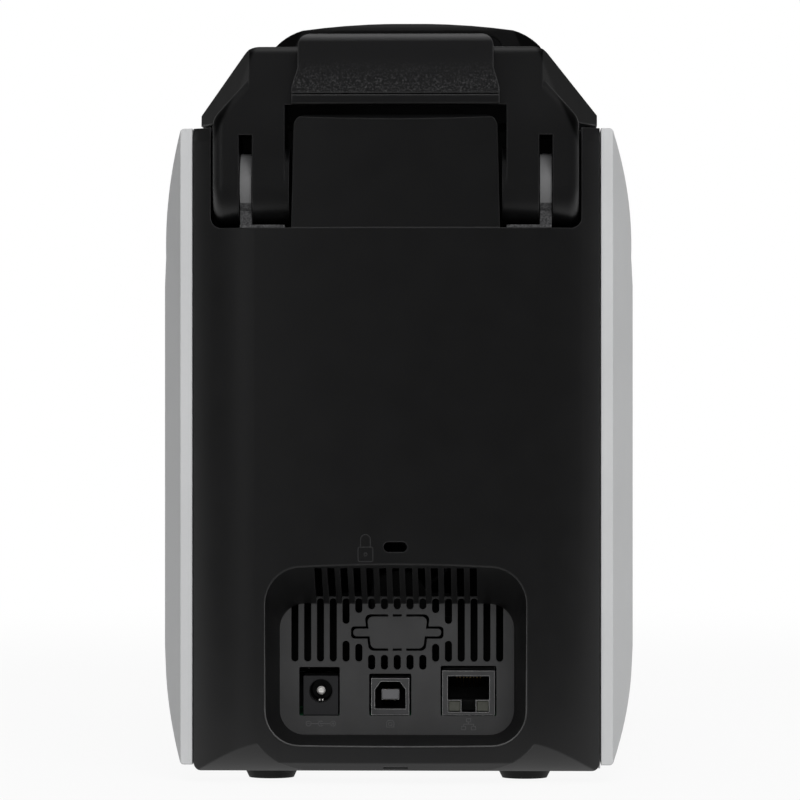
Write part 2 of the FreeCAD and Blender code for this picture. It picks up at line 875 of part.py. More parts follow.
def knock_out():
    """Groove cut through around the punched blank, left whole at four tabs."""
    groove = knock_ring(knock_groove / 2).cut(knock_ring(-knock_groove / 2))
    place, reach = knock_tab
    tabs = [box(knock_x + x - reach, knock_x + x + reach, port_y - 2 * plate_thick, port_y + 2 * over,
                knock_z + z - over, knock_z + z + over)
            for x in (-place, place) for z in (-knock_half, knock_half)]
    return groove.cut(tabs)


def port_plate():
    grow = wall - air
    plate = along_y(rounded(-plate_half - grow, plate_half + grow, plate_low - grow, plate_high + grow,
                            plate_round), port_y - plate_thick, port_y)
    tools = [knock_out()]
    for middle, wide, high in ((power_x, power_wide, power_high), (usb_x, usb_wide, usb_high),
                               (lan_x, lan_wide, lan_high)):
        opening = rounded(middle - wide / 2, middle + wide / 2, port_floor, port_floor + high, port_corner)
        tools.append(along_y(opening, port_y - plate_thick - over, port_y + over))
    columns = plate_louvres()
    for i in range(1 - len(columns), len(columns)):
        for low, high in columns[abs(i)]:
            outline = slot_outline(knock_x + i * slot_pitch, low, high, slot_wide)
            tools.append(along_y(outline, port_y - plate_thick - over, port_y + over))
    return plate.cut(tools)


# Side panels

def panel_block(inset):
    """Outer form of the right-hand panel, drawn in by its wall."""
    outer = panel_rim - inset
    knee = panel_out - inset - waist
    inner = panel_in - over
    low = panel_bottom + inset
    high = body_top - inset
    upright = [(inner, low), (outer, low, panel_corner, low_bow), (knee, low + low_bevel, 0, upright_crown),
               (knee, high - high_bevel, 0, high_bow), (outer, high, panel_corner), (inner, high)]
    side = panel_out - inset
    y1 = rim_y - inset / 2
    y0 = rim_y - bevel_depth
    plan = [(inner, -y1), (outer, -y1), (side, -y0, 0, panel_crown), (side, y0), (outer, y1), (inner, y1)]
    return along_y(upright, -rear, rear).common(along_z(plan, 0, body_top + over))


def side_panel():
    far = panel_out + rim_width
    shell = panel_block(0).common(box(panel_in, far, -rear, rear, 0, body_top + over))
    room = box(panel_in - over, far, -rim_y + wall, rim_y - wall, 0, body_top)
    return shell.cut(panel_block(wall).common(room))


# Tray and feet

def board_posts(z0, z1, radius):
    """Uprights through or under the main board's corners."""
    return [rod_z(x, rear - back, z0, z1, radius) for x in (post_in - frame_half, frame_half - post_in)
            for back in post_back]


def base_tray():
    floor = wide_box(panel_in, -tray_end, tray_end, floor_low, floor_top)
    sides = both(box(panel_in - tray_wall, panel_in, -tray_end, tray_end, floor_low, floor_top + flange_high))
    return joined([floor] + sides + board_posts(floor_top, board_low, post_radius))


def rubber_feet():
    foot_y = rear - foot_back
    return grouped([Part.makeCone(foot_narrow, foot_wide, floor_low, vec(x, y, 0))
                    for x in (-foot_x, foot_x) for y in (-foot_y, foot_y)])


# Front cover with the feeder door, the output flap, the display and the keys

def front_cover():
    outer = turned(end_solid(0, tray_end, body_top))
    inner = turned(end_solid(wall, tray_end - over, body_top - wall))
    lugs = []
    tools = []
    for low, high in ((door_low, door_high), (flap_low, flap_high)):
        z = low + door_thick
        lug = box(door_half + air, door_half + air + leaf_lug, front + lug_from, front + lug_from + lug_deep,
                  z - lug_half, z + lug_half)
        lugs += both(lug)
        tools.append(wide_box(door_half + air, front - over, -tray_end + over, low - air, high + air))
        reach = door_half + leaf_lug + air
        tools.append(rod_x(-reach, reach, hinge_leaf_y, z, leaf_pin + fit))
    post_x, post_low, post_high = panel_posts
    posts = [rod_y(x, front + lug_from, panel_board_y, z, panel_post_radius)
             for x in (-post_x, post_x) for z in (post_low, post_high)]
    body = joined([outer.cut(inner)] + [piece.common(outer) for piece in lugs + posts])
    far = front + 2 * wall + over
    tools.append(along_y(rounded(-window_half, window_half, window_low, window_high, window_round),
                         front - over, far))
    for x in key_places.values():
        tools.append(rod_y(x, front - over, far, key_z, key_radius + air))
    slot_front = latch_y - hook_reach
    tools.append(wide_box(hook_half + hook_slot, slot_front, slot_front + hook_slot_long,
                          body_top - wall - over, body_top + over))
    return body.cut(tools)


def leaf(low, high):
    """Door or flap that follows the crown, turns on two pins at its lower edge and has a finger lip."""
    z = low + door_thick
    plan = along_z(end_plan(0, tray_end), z, high)
    back = along_z(end_plan(door_thick, tray_end - over), z - over, high + over)
    panel = turned(plan.cut(back).common(wide_box(door_half, 0, rear + over, z, high)))
    roll = rod_x(-door_half, door_half, hinge_leaf_y, z, door_thick)
    trim = turned(along_z(end_plan(0, tray_end), low - over, high))
    pin = rod_x(-door_half - leaf_lug, door_half + leaf_lug, hinge_leaf_y, z, leaf_pin)
    lip = wide_box(lip_half, front + lip_from, front + lip_to, high - lip_drop[0], high - lip_drop[1])
    return joined([panel, roll.common(trim), pin, lip])


def display_window():
    edge = window_play
    outline = rounded(-window_half + edge, window_half - edge, window_low + edge, window_high - edge,
                      window_round - edge)
    block = along_y(outline, front - over, front + 2 * wall)
    skin = along_z(end_plan(seam, tray_end), window_low, window_high)
    back = along_z(end_plan(wall, tray_end - over), window_low - over, window_high + over)
    lens = turned(skin.cut(back)).common(block)
    side, rim = window_cell
    cell = wide_box(window_half - side, front + wall, panel_board_y, window_low + rim, window_high - rim)
    return joined([lens, cell])


def key(x):
    face = front - key_proud + flat_drop * (x / flat_half) ** 2
    back = front + key_deep
    collar_long, collar_out = key_collar
    switch_y = panel_board_y - switch[1]
    cap = rod_y(x, face, back, key_z, key_radius)
    collar = rod_y(x, back - collar_long, back, key_z, key_radius + collar_out)
    stem = rod_y(x, back, switch_y - air - key_travel, key_z, key_stem)
    return joined([cap, collar, stem])


def control_board():
    reach, thick = switch
    parts = [wide_box(panel_posts[0] + lug_deep / 3, panel_board_y, panel_board_y + board_thick,
                      panel_board_low, panel_board_high)]
    for x in key_places.values():
        parts.append(box(x - reach, x + reach, panel_board_y - thick, panel_board_y, key_z - reach, key_z + reach))
    return joined(parts)


# Lid

def rear_line(inset, top):
    """Rear face of the lid and its arms from below: upright, then leaning to a rounded top edge."""
    back = lid_back - inset
    return [(back, hinge_height), (back, lid_low, lean_round), (back - lid_lean, top, arm_round)]


def lid_plan(inset):
    """Solid that gives the lid its outline from above; the swept rear facets lean with the rear face."""
    back = lid_back + over - inset
    side = lid_half - inset
    facet = shoulder_half - inset / 2
    top = dome_top + over
    lean = lid_lean * (top - lid_low) / lid_rise
    nose = lid_nose + inset
    behind = along_z([(-side, 0), (side, 0), (side, back - lid_sweep), (facet, back), (-facet, back),
                      (-side, back - lid_sweep)], lid_low - over, top, lean)
    ahead = along_z([(-side, over), (-side, nose + nose_corner, 0, corner_bulge),
                     (-flat_half, nose + flat_drop, 0, flat_drop), (flat_half, nose + flat_drop, 0, corner_bulge),
                     (side, nose + nose_corner), (side, over)], lid_low - over, top)
    return behind.fuse(ahead)


def lid_form(inset):
    """Outer form of the lid, drawn in by its wall: rear deck and raised hood."""
    low = lid_low - (over if inset else 0)
    side = lid_half - inset
    rail = lid_low + lid_side
    top = lid_shoulder - inset
    shoulder = shoulder_half - inset / 2
    deck_view = [(-side, low), (side, low), (side, rail), (shoulder, top, shoulder_round),
                 (-shoulder, top, shoulder_round), (-side, rail)]
    nose = lid_nose + inset
    deck_profile = [(nose, hinge_height)] + rear_line(inset, top)
    deck_profile += [(rear - deck_break, top, 40.0), (nose, rail + nose_rise, 4.0)]
    plan = lid_plan(inset)
    deck = along_y(deck_view, -rear, rear).common(along_x(deck_profile, -half, half)).common(plan)
    high = dome_top - inset
    knee = dome_side - inset
    flat = dome_flat - inset / 2
    dome_view = [(-side, low), (side, low), (side, rail), (knee, high - dome_side_drop, 0, dome_bulge),
                 (flat, high - dome_crown, 0, dome_crown), (-flat, high - dome_crown, 0, dome_bulge),
                 (-knee, high - dome_side_drop), (-side, rail)]
    wall_y = dome_back - inset
    dome_profile = [(nose, low), (wall_y + dome_lean / 2, low), (wall_y, top), (wall_y - dome_lean, high, 4.0)]
    dome_profile += [(rear - back, high - drop, radius) for back, drop, radius in dome_falls]
    dome_profile.append((nose, rail + nose_rise, 6.0))
    dome = along_y(dome_view, -rear, rear).common(along_x(dome_profile, -half, half)).common(plan)
    return deck.fuse(dome).removeSplitter()


def hinge_arm():
    """Right-hand arm of the lid: a cheek that ends in a barrel, slotted for the lug, and runs up into the lid."""
    y0 = hinge_y - barrel
    top = lid_low + gusset_rise
    view = along_y([(arm_inner, hinge_height), (arm_outer, hinge_height), (arm_outer, lid_low, 6.0),
                    (shoulder_half, top), (arm_inner, top)], y0, rear)
    profile = along_x([(y0, hinge_height)] + rear_line(0, lid_shoulder) + [(y0, lid_shoulder)],
                      arm_inner, arm_outer)
    block = view.common(profile)
    edge = [e for e in block.Edges if e.CenterOfMass.y > hinge_y and e.CenterOfMass.x > shoulder_half + over
            and e.CenterOfMass.z > hinge_height + over and e.BoundBox.ZLength > over]
    block = block.makeFillet(arm_round, edge)
    roll = rod_x(arm_inner - barrel_more, arm_outer, hinge_y, hinge_height, barrel)
    rim = [e for e in roll.Edges if e.CenterOfMass.x > arm_outer - fit and e.Closed]
    arm = joined([block, roll.makeFillet(arm_round, rim)])
    slot = box(lug_middle - slot_width / 2, lug_middle + slot_width / 2, y0 - over, rear,
               hinge_height - barrel - over, hinge_height + slot_reach)
    bore = rod_x(arm_inner - barrel_more - over, pin_to + air, hinge_y, hinge_height, pin_radius + fit)
    return arm.cut([slot, bore])


def lid_cover():
    outer = lid_form(0)
    high = dome_top - pocket_drop
    scoop = along_y(both_ways([(pocket_half, pocket_low, 3.0), (pocket_half - 6, high - 3, 4.0),
                               (pocket_half - 14, high, 6.0)]), dome_back - pocket_deep, dome_back + 2 * wall)
    keep = wide_box(pocket_half + 2, dome_back - pocket_deep - wall, dome_back + 2 * wall,
                    lid_shoulder - wall, dome_top)
    hollow = lid_form(wall).cut(keep)
    under = wide_box(arm_inner, hinge_y - block_reach - over, rear + over, lid_low - over, cap_low)
    shell = outer.cut([hollow, under, scoop])
    window = wide_box(latch_half + air, front, lid_nose + 2 * wall, lid_low - over, latch_high + air)
    lugs = [lug.common(outer) for lug in latch_lugs()]
    return joined([shell.cut(window)] + lugs + both(hinge_arm()))


def lid_spine():
    """Cap over the middle of the lid's rear deck, with its lower lip."""
    foot = cap_half + cap_flare
    view = along_y(both_ways([(foot, cap_low), (foot, cap_low + cap_step[0], 4.0),
                              (cap_half, cap_low + cap_step[1], 4.0), (cap_half, cap_top, 3.7)]), 0, rear)
    back = rear - cap_set
    ahead = dome_back + cap_front
    profile = along_x([(ahead, cap_low), (back, cap_low, 1.2), (back, cap_low + cap_step[0], 8.0),
                       (back - cap_lean, cap_top, 2.5), (ahead, cap_top, 1.0)], -half, half)
    groove_rise, groove_high, groove_deep = cap_groove
    groove = wide_box(half, back - groove_deep, rear, cap_low + groove_rise, cap_low + groove_rise + groove_high)
    return view.common(profile).cut([lid_form(0), groove])


# Latch in the nose of the lid

def latch_lugs():
    lugs = []
    for sign in (-1, 1):
        near = sign * (latch_half + 2 * air)
        far = near + sign * latch_lug
        x0, x1 = min(near, far), max(near, far)
        lug = box(x0, x1, front, latch_y + latch_lug_half, lid_low + liner_rise + air, latch_z + latch_lug_half)
        lugs.append(lug.cut(rod_x(x0 - over, x1 + over, latch_y, latch_z, latch_pin + fit)))
    return lugs


def lid_latch():
    button = wide_box(latch_half, lid_nose - latch_proud, latch_y, latch_low, latch_high)
    middle = rod_x(-latch_half, latch_half, latch_y, latch_z, latch_barrel)
    ahead, behind = hook_thick
    hook = wide_box(hook_half, latch_y - ahead, latch_y + behind, hook_low, latch_z)
    tip = wide_box(hook_half, latch_y - hook_reach + air, latch_y, hook_low, hook_low + hook_tip)
    reach = latch_half + 2 * air + latch_lug
    return joined([button, middle, hook, tip, rod_x(-reach, reach, latch_y, latch_z, latch_pin)])


# Liner of the lid, and the hinge brackets

def lid_liner():
    side = lid_half - wall - air
    ahead = lid_nose + wall + liner_nose
    top = liner_low + liner_thick
    plate = along_z(rounded(-side, side, ahead, liner_end, liner_corner), liner_low, top)
    ribs = []
    y = liner_end
    for step in rib_places[:-1]:
        y -= step
        ribs.append(wide_box(side, y, y + liner_thick, top, liner_low + rib_high))
    spars = both(box(spar_x, spar_x + liner_thick, ahead + liner_thick, liner_end, top, liner_low + rib_high))
    room = lid_form(wall + air)
    return joined([piece.common(room) for piece in [plate] + ribs + spars])


def hinge_bracket():
    """Riser and lug that hold one hinge pin, with a foot on the notch's floor."""
    x0 = lug_middle - lug_thick / 2
    x1 = lug_middle + lug_thick / 2
    lug = rod_x(x0, x1, hinge_y, hinge_height, lug_radius)
    riser = box(x0, x1, hinge_y - riser_front, hinge_y + riser_back, notch_floor, hinge_height - riser_drop)
    foot = box(arm_inner, lug_middle + strip_out, hinge_y + strip_front, hinge_y + strip_back, notch_floor,
               notch_floor + foot_strip)
    return joined([lug, riser, foot]).cut(rod_x(x0 - over, x1 + over, hinge_y, hinge_height, pin_radius))


def hinge_pin():
    return rod_x(pin_from, pin_to, hinge_y, hinge_height, pin_radius)


# Frame: two steel side plates, tie bars and the moulded deck

def side_plate():
    """Right-hand plate with the bores of every shaft."""
    plate = box(frame_half, frame_out, -frame_end, frame_end, floor_top, deck_low)
    foot = box(frame_half, frame_half + plate_foot, -frame_end, frame_end, floor_top, floor_top + sheet)
    x0 = frame_half - over
    x1 = frame_out + over
    bores = [(y, roller_z, shaft + fit) for y in rollers.values()]
    bores += [(y, pinch_z, journal + fit) for y in pinches.values()]
    bores += [(y, spool_z, shaft + fit) for y in (supply_y, takeup_y)]
    bores += [(clean_y, clean_z, journal + fit), (divert_y, divert_z, divert_pin + fit),
              (motor_y, motor_z, motor_hole)]
    tools = [rod_x(x0, x1, y, z, radius) for y, z, radius in bores]
    near, far, low, high = window_front
    tools.append(along_x(rounded(feeder_front + near, feeder_front + near + far, low, high, window_corner), x0, x1))
    near, far, low, high = window_back
    tools.append(along_x(rounded(exit_y - near, exit_y - near + far - near, low, high, window_corner), x0, x1))
    return joined([plate, foot]).cut(tools)


def tie_bars():
    return grouped([rod_x(-frame_half, frame_half, y, z, tie_radius) for y, z in ties])


def inner_deck():
    side = half - seam
    rim_near, rim_far, rim_deep = deck_rim
    top = deck_low + deck_thick
    deck = wide_box(side, -frame_end - deck_thick, frame_end + rim_far, deck_low, top)
    rim = wide_box(side, frame_end + rim_near, frame_end + rim_far, deck_low - rim_deep, deck_low)
    bay_half = frame_half - bay_in
    bay = rounded(-bay_half, bay_half, takeup_y - bay_margin[0], supply_y + bay_margin[1], bay_round)
    mouth = rounded(-feeder_half, feeder_half, feeder_front, feeder_back, feeder_wall)
    return joined([deck, rim]).cut([along_z(bay, deck_low - over, top + over),
                                    along_z(mouth, deck_low - over, top + over)])


# Card feeder

def feeder_body():
    out = feeder_half + feeder_wall
    shell = wide_box(out, feeder_front, feeder_back + feeder_wall, path_z - feeder_wall, deck_low)
    room = wide_box(feeder_half, feeder_front - over, feeder_back, path_z, deck_low + over)
    low = path_z + wing_rise
    wings = both(box(out - over, frame_half, feeder_front + wing_long[0], feeder_back - wing_long[1], low,
                     low + wing_thick))
    mouth = wide_box(feeder_half, feeder_back - over, feeder_back + feeder_wall + over, path_z,
                     path_z + feeder_gap)
    reach = roller + roller_room
    window = wide_box(path_half + over, pick_y - reach, pick_y + reach, path_z - 2 * feeder_wall, path_z + over)
    slot = wide_box(feeder_half + ear_out + 2 * air, follower_y - ear_half - air, follower_y + ear_half + air,
                    path_z + over, deck_low - feeder_top)
    return joined([shell] + wings).cut([room, mouth, window, slot])


def feeder_follower():
    low = path_z + follower_lift
    side = feeder_half - follower_play
    ahead = feeder_front + follower_ends[0]
    plate = wide_box(side, ahead, feeder_back - follower_ends[1], low, low + follower_thick)
    ears = wide_box(feeder_half + ear_out, follower_y - ear_half, follower_y + ear_half, low + ear_low,
                    low + ear_high)
    grip = wide_box(grip_wide, ahead + grip_from, ahead + grip_from + grip_thick, low, low + grip_tall)
    return joined([plate, ears, grip])


# Card path

def card_guide():
    low = path_z - guide_drop
    plate = wide_box(frame_half, feeder_back + guide_front, rear - guide_back, low, low + guide_thick)
    reach = roller + roller_room
    tools = [wide_box(path_half + shaft_more, y - reach, y + reach, low - over, path_z)
             for name, y in rollers.items() if name != "pick"]
    near, far = divert_room
    tools.append(wide_box(path_half + guide_half_gap, divert_y - near, divert_y + far, low - over, path_z))
    return plate.cut(tools)


def output_chute():
    top, knee, foot = [roller_z - drop for drop in chute_drop]
    y1 = feed_y - chute_back
    y0 = y1 - chute_long
    bed = along_x(strip([(y1, top), (y0, knee), (feeder_back - hopper_back - chute_foot, foot)], -sheet),
                  -path_half, path_half)
    wide, long, drop = chute_ear
    z = roller_z - drop
    ear = box(frame_half - wide - guide_half_gap + over, frame_half, y0 - long, y0, z, z + sheet)
    return joined([bed] + both(ear))


def diverter_flap():
    pin = rod_x(-frame_out, frame_out, divert_y, divert_z, divert_pin)
    tip_z = path_z - blade_tip
    end = divert_y + blade_long
    blade = along_x([(divert_y, divert_z - blade_thick), (end, tip_z), (end - divert_pin, tip_z + blade_thick),
                     (divert_y, divert_z + blade_thick)], -path_half, path_half)
    return joined([pin, blade])


def output_hopper():
    out = hopper_half + hopper_wall
    y0 = front + hopper_front
    y1 = feeder_back - hopper_back
    shell = wide_box(out, y0, y1 + hopper_wall, hopper_low, hopper_high)
    room = wide_box(hopper_half, y0 - over, y1, hopper_low + hopper_wall, hopper_high + over)
    inlet = wide_box(hopper_half, y1 - over, y1 + hopper_wall + over, hopper_sill, hopper_high + over)
    legs = [box(x, x + leg, y, y + leg, floor_top, hopper_low) for x in (-out, out - leg)
            for y in (y0 + leg_front, y1 - leg_back)]
    return joined([shell] + legs).cut([room, inlet])


# Rollers, with the drive pulleys on the right-hand ends of their shafts

def pulley_on(y, z):
    body = rod_x(pulley_from, pulley_from + pulley_wide, y, z, pulley)
    sides = [rod_x(x, x + pulley_lip, y, z, pulley + flange)
             for x in (pulley_from - pulley_lip, pulley_from + pulley_wide)]
    return joined([body] + sides)


def driven_shaft(y):
    """Steel shaft with its pulley, and a collar outside the left-hand plate."""
    rod = rod_x(shaft_left, pulley_from + pulley_wide + shaft_more, y, roller_z, shaft)
    collar = rod_x(-frame_out - air - collar_wide, -frame_out - air, y, roller_z, shaft + collar_round)
    return joined([rod, collar, pulley_on(y, roller_z)])


def sleeve(y):
    """Rubber cover of a driven shaft."""
    cover = rod_x(-path_half, path_half, y, roller_z, roller)
    return cover.cut(rod_x(-path_half - over, path_half + over, y, roller_z, shaft))


def driven_roller(y):
    """The same, moulded onto its shaft."""
    return joined([driven_shaft(y), rod_x(-path_half, path_half, y, roller_z, roller)])


def idler(y, z, radius):
    """Roller and thin journals in one piece."""
    journals = rod_x(-frame_out - over, frame_out + over, y, z, journal)
    return joined([rod_x(-path_half, path_half, y, z, radius), journals])


def drive_belt():
    centres = [(pick_y, roller_z), (motor_y, motor_z), (exit_y, roller_z)]
    loop = wire(centres, lambda q: vec(pulley_from + air, q.x, q.y))
    inner = Part.Face(loop.makeOffset2D(pulley + air, 0))
    outer = Part.Face(loop.makeOffset2D(pulley + air + belt_thick, 0))
    way = vec(pulley_wide - 2 * air, 0, 0)
    return outer.extrude(way).cut(inner.extrude(way))


def motor_pulley():
    rod = rod_x(frame_half - motor_shaft_in, pulley_from + pulley_wide + shaft_more, motor_y, motor_z, motor_shaft)
    return joined([rod, pulley_on(motor_y, motor_z)])


def feed_motor():
    can = along_x(rounded(motor_y - motor_half, motor_y + motor_half, motor_z - motor_half,
                          motor_z + motor_half, motor_corner), frame_half - motor_long, frame_half)
    collar = rod_x(frame_half, frame_out, motor_y, motor_z, motor_collar)
    bore = rod_x(frame_half - motor_shaft_in - over, frame_out + over, motor_y, motor_z, motor_shaft + fit)
    return joined([can, collar]).cut(bore)


# Ribbon: two spools in a frame, the film, and the gears that wind it

def spool(y, wound, flange_radius, reach):
    """Core with its wound film, two flanges and journals."""
    parts = [rod_x(-frame_out - over, reach, y, spool_z, shaft),
             rod_x(-spool_half, spool_half, y, spool_z, core),
             rod_x(-path_half, path_half, y, spool_z, wound)]
    parts += [rod_x(x, x + spool_flange, y, spool_z, flange_radius)
              for x in (-spool_half, spool_half - spool_flange)]
    return joined(parts)


def gear(y, z, teeth, x0, x1, bore, turn):
    """Spur gear with straight-flanked teeth, cut a little under its pitch circle."""
    pitch = gear_module * teeth / 2
    levels = (pitch - root_depth * gear_module, pitch, pitch + tip_height * gear_module)
    step = 2 * math.pi / teeth
    points = []
    for i in range(teeth):
        for share, level in tooth:
            angle = (i + share) * step + turn
            points.append((y + levels[level] * math.cos(angle), z + levels[level] * math.sin(angle)))
    return along_x(points, x0, x1).cut(rod_x(x0 - over, x1 + over, y, z, bore))


def takeup_gear():
    return gear(takeup_y, spool_z, gear_teeth, gear_from, gear_from + gear_wide, shaft, 0)


def takeup_pinion():
    """Pinion on the ribbon motor's shaft, turned so that a gap faces the gear's tooth."""
    turn = math.pi + math.pi / pinion_teeth
    teeth = gear(pinion_y, spool_z, pinion_teeth, gear_from, gear_from + gear_wide, winder_shaft - fit, turn)
    return joined([teeth, rod_x(gear_from, frame_half + winder_reach, pinion_y, spool_z, winder_shaft)])


def ribbon_motor():
    x0 = frame_half + winder_out
    plate = along_x(rounded(pinion_y - winder_half, pinion_y + winder_half, spool_z - winder_half,
                            spool_z + winder_half, winder_corner), x0, x0 + sheet)
    can = rod_x(x0 + sheet, x0 + winder_long, pinion_y, spool_z, winder_can)
    stands = [rod_x(frame_out, x0, pinion_y + winder_stand, z, journal)
              for z in (spool_z - winder_stand, spool_z + winder_stand)]
    bore = rod_x(x0 - over, frame_half + winder_reach + air, pinion_y, spool_z, winder_shaft + fit)
    return joined([plate, can] + stands).cut(bore)


def ribbon_frame():
    """Two cheeks round the spools' journals, joined by the film's guide bars."""
    low = spool_z - cheek_margin
    outline = [(takeup_y - cheek_margin, low, cheek_round)]
    for (away, drop), radius in zip(cheek_waist, (cheek_round, cheek_corner)):
        outline.append((head_y - away, spool_z - drop, radius))
    for (away, drop), radius in zip(cheek_rear[::-1], (cheek_corner, cheek_round)):
        outline.append((head_y + away, spool_z - drop, radius))
    outline += [(supply_y + cheek_supply, low, cheek_round),
                (supply_y + cheek_supply, spool_z + cheek_supply, cheek_round),
                (takeup_y - cheek_margin, spool_z + cheek_supply, cheek_round)]
    plate = along_x(outline, cheek, cheek + cheek_thick)
    holes = [rod_x(cheek - over, cheek + cheek_thick + over, y, spool_z, shaft + fit) for y in (takeup_y, supply_y)]
    cross = [rod_x(-cheek, cheek, head_y + away, path_z + rise, guide_bar) for away, rise in bars]
    return joined(both(plate.cut(holes)) + cross)


def ribbon_film():
    line = [(head_y + away, path_z + rise) for away, rise in film_line]
    return along_x(strip(line, -film_thick), -path_half, path_half)


# Print head, held by a bracket under the lid's liner

def head_bracket():
    near = head_y - bracket_deep
    far = head_y + bracket_deep
    shelf_low = head_high + spring_room
    top = wide_box(bracket_half + sheet, head_y - bracket_top, head_y + bracket_top, liner_low - sheet, liner_low)
    cheeks = both(box(bracket_half, bracket_half + sheet, near, far, head_low + bracket_low, liner_low))
    shelf = wide_box(bracket_half, near, far, shelf_low, shelf_low + sheet)
    pin_z = head_low + head_pin_rise
    play = head_pin + air / 3
    slot = along_x(rounded(head_y - play, head_y + play, pin_z - play, pin_z + head_float + play, head_pin),
                   -bracket_half - 2 * sheet, bracket_half + 2 * sheet)
    return joined([top] + cheeks + [shelf]).cut(slot)


def print_head():
    block = wide_box(head_half, head_y - head_deep, head_y + head_deep, head_low + head_foot, head_high)
    edge = along_x([(head_y + away, head_low + rise) for away, rise in edge_line], -path_half, path_half)
    reach = bracket_half + sheet + over
    pins = rod_x(-reach, reach, head_y, head_low + head_pin_rise, head_pin)
    grooves = []
    for i in range(fins):
        x = (i - (fins - 1) / 2) * fin_pitch
        grooves.append(box(x - fin_groove / 2, x + fin_groove / 2, head_y - fin_half, head_y + fin_half,
                           head_high - fin_deep, head_high + over))
    return joined([block, edge, pins]).cut(grooves)


def head_springs():
    low = head_high + spring_wire + air
    tall = spring_room - 2 * (spring_wire + air)
    springs = []
    for x in (spring_in - head_half, head_half - spring_in):
        helix = Part.makeHelix(tall / spring_turns, tall, spring_radius)
        section = Part.Wire(Part.makeCircle(spring_wire, vec(spring_radius, 0, 0), vec(0, 1, 0)))
        coil = Part.Wire(helix.Edges).makePipeShell([section], True, True)
        springs.append(coil.translated(vec(x, head_y, low)))
    return grouped(springs)


# Electronics at the back

def main_board():
    parts = [wide_box(board_half, board_back - board_long, board_back, board_low, board_top)]
    for x0, x1, near, far, tall in chips:
        parts.append(box(x0, x1, board_back - far, board_back - near, board_top, board_top + tall))
    away, radius, tall = capacitor
    parts += [rod_z(x, board_back - away, board_top, board_top + tall, radius) for x in capacitors]
    return joined(parts).cut(board_posts(board_low - over, board_top + over, screw_hole))


def power_socket():
    shift, side, tall, deep, set_back = power_body
    hole_rise, hole, hole_deep = power_hole
    pin, pin_deep, pin_set = power_pin
    x = power_x - shift
    z = board_top + hole_rise
    face = port_y - set_back
    body = box(x - side, x + side, face - deep, face, board_top, board_top + tall)
    body = body.cut(rod_y(x, face - hole_deep, face + over, z, hole))
    return joined([body, rod_y(x, face - pin_deep, face - pin_set, z, pin)])


def usb_socket():
    side, tall, deep, set_back = usb_body
    face = port_y - set_back
    shell = box(usb_x - side, usb_x + side, face - deep, face, board_top, board_top + tall)
    right = [(usb_x + away, board_top + rise) for away, rise in usb_room]
    left = [(usb_x - away, board_top + rise) for away, rise in usb_room[::-1]]
    room = along_y(right + left, face - usb_deep, face + over)
    side, low, high, far, near = usb_tongue
    tongue = box(usb_x - side, usb_x + side, face - far, face - near, board_top + low, board_top + high)
    return joined([shell.cut(room), tongue])


def network_socket():
    side, tall, deep, set_back = lan_body
    face = port_y - set_back
    shell = box(lan_x - side, lan_x + side, face - deep, face, board_top, board_top + tall)
    reach, low, high, room_deep = lan_room
    room = box(lan_x - reach, lan_x + reach, face - room_deep, face + over, board_top + low, board_top + high)
    latch_half_width, latch_base = lan_latch
    latch = box(lan_x - latch_half_width, lan_x + latch_half_width, face - room_deep + 2 * over, face + over,
                board_top + latch_base, board_top + low + over)
    place, lamp_half, lamp_low, lamp_high, lamp_deep = lan_lamp
    lamps = [box(lan_x + s - lamp_half, lan_x + s + lamp_half, face - lamp_deep, face + over,
                 board_top + lamp_low, board_top + lamp_high) for s in (-place, place)]
    return shell.cut([room, latch] + lamps)


def fan_frame():
    outline = rounded(-fan_half, fan_half, fan_z - fan_half, fan_z + fan_half, fan_corner)
    arm_half, arm_thick = fan_arm
    pin_long, pin = fan_pin
    reach = fan_bore + over / 2
    front_y = fan_y + arm_thick
    frame = along_y(outline, fan_y, fan_y + fan_thick).cut(rod_y(0, fan_y - over, rear, fan_z, fan_bore))
    arms = [wide_box(reach, fan_y, front_y, fan_z - arm_half, fan_z + arm_half),
            wide_box(arm_half, fan_y, front_y, fan_z - reach, fan_z + reach),
            rod_y(0, fan_y, front_y, fan_z, fan_hub), rod_y(0, fan_y, fan_y + pin_long, fan_z, pin)]
    place, hole = fan_hole
    holes = [rod_y(x, fan_y - over, rear, fan_z + z, hole) for x in (-place, place) for z in (-place, place)]
    return joined([frame] + arms).cut(holes)


def fan_bracket():
    y0 = fan_y + fan_thick
    plate = wide_box(frame_half, y0, y0 + sheet, fan_z - fan_half, fan_z + fan_plate_high)
    return plate.cut(rod_y(0, y0 - over, y0 + sheet + over, fan_z, fan_bore))


def fan_rotor():
    y0 = fan_y + fan_arm[1] + air
    y1 = fan_y + fan_thick - rotor_gap
    tip = fan_bore - blade_clear
    blades = []
    for i in range(fan_blades):
        blade = wide_box(blade_half, y0 + rotor_gap, y1, fan_z + blade_root, fan_z + tip)
        blade.rotate(vec(0, (y0 + y1) / 2, fan_z), vec(0, 0, 1), blade_pitch)
        blade.rotate(vec(0, 0, fan_z), vec(0, 1, 0), i * 360 / fan_blades)
        blades.append(blade)
    swept = joined([rod_y(0, y0, y1, fan_z, rotor_hub)] + blades).common(rod_y(0, y0, y1, fan_z, tip))
    return swept.cut(rod_y(0, y0 - over, y1 - over, fan_z, fan_pin[1] + fit))


def tray_screws():
    """Pan-head screws that hold the plates' feet down, from above."""
    low = floor_top + sheet
    radius, tall = screw_head
    return grouped([rod_z(x, y, low, low + tall, radius) for x in (-frame_half - screw_in, frame_half + screw_in)
                    for y in screw_places])


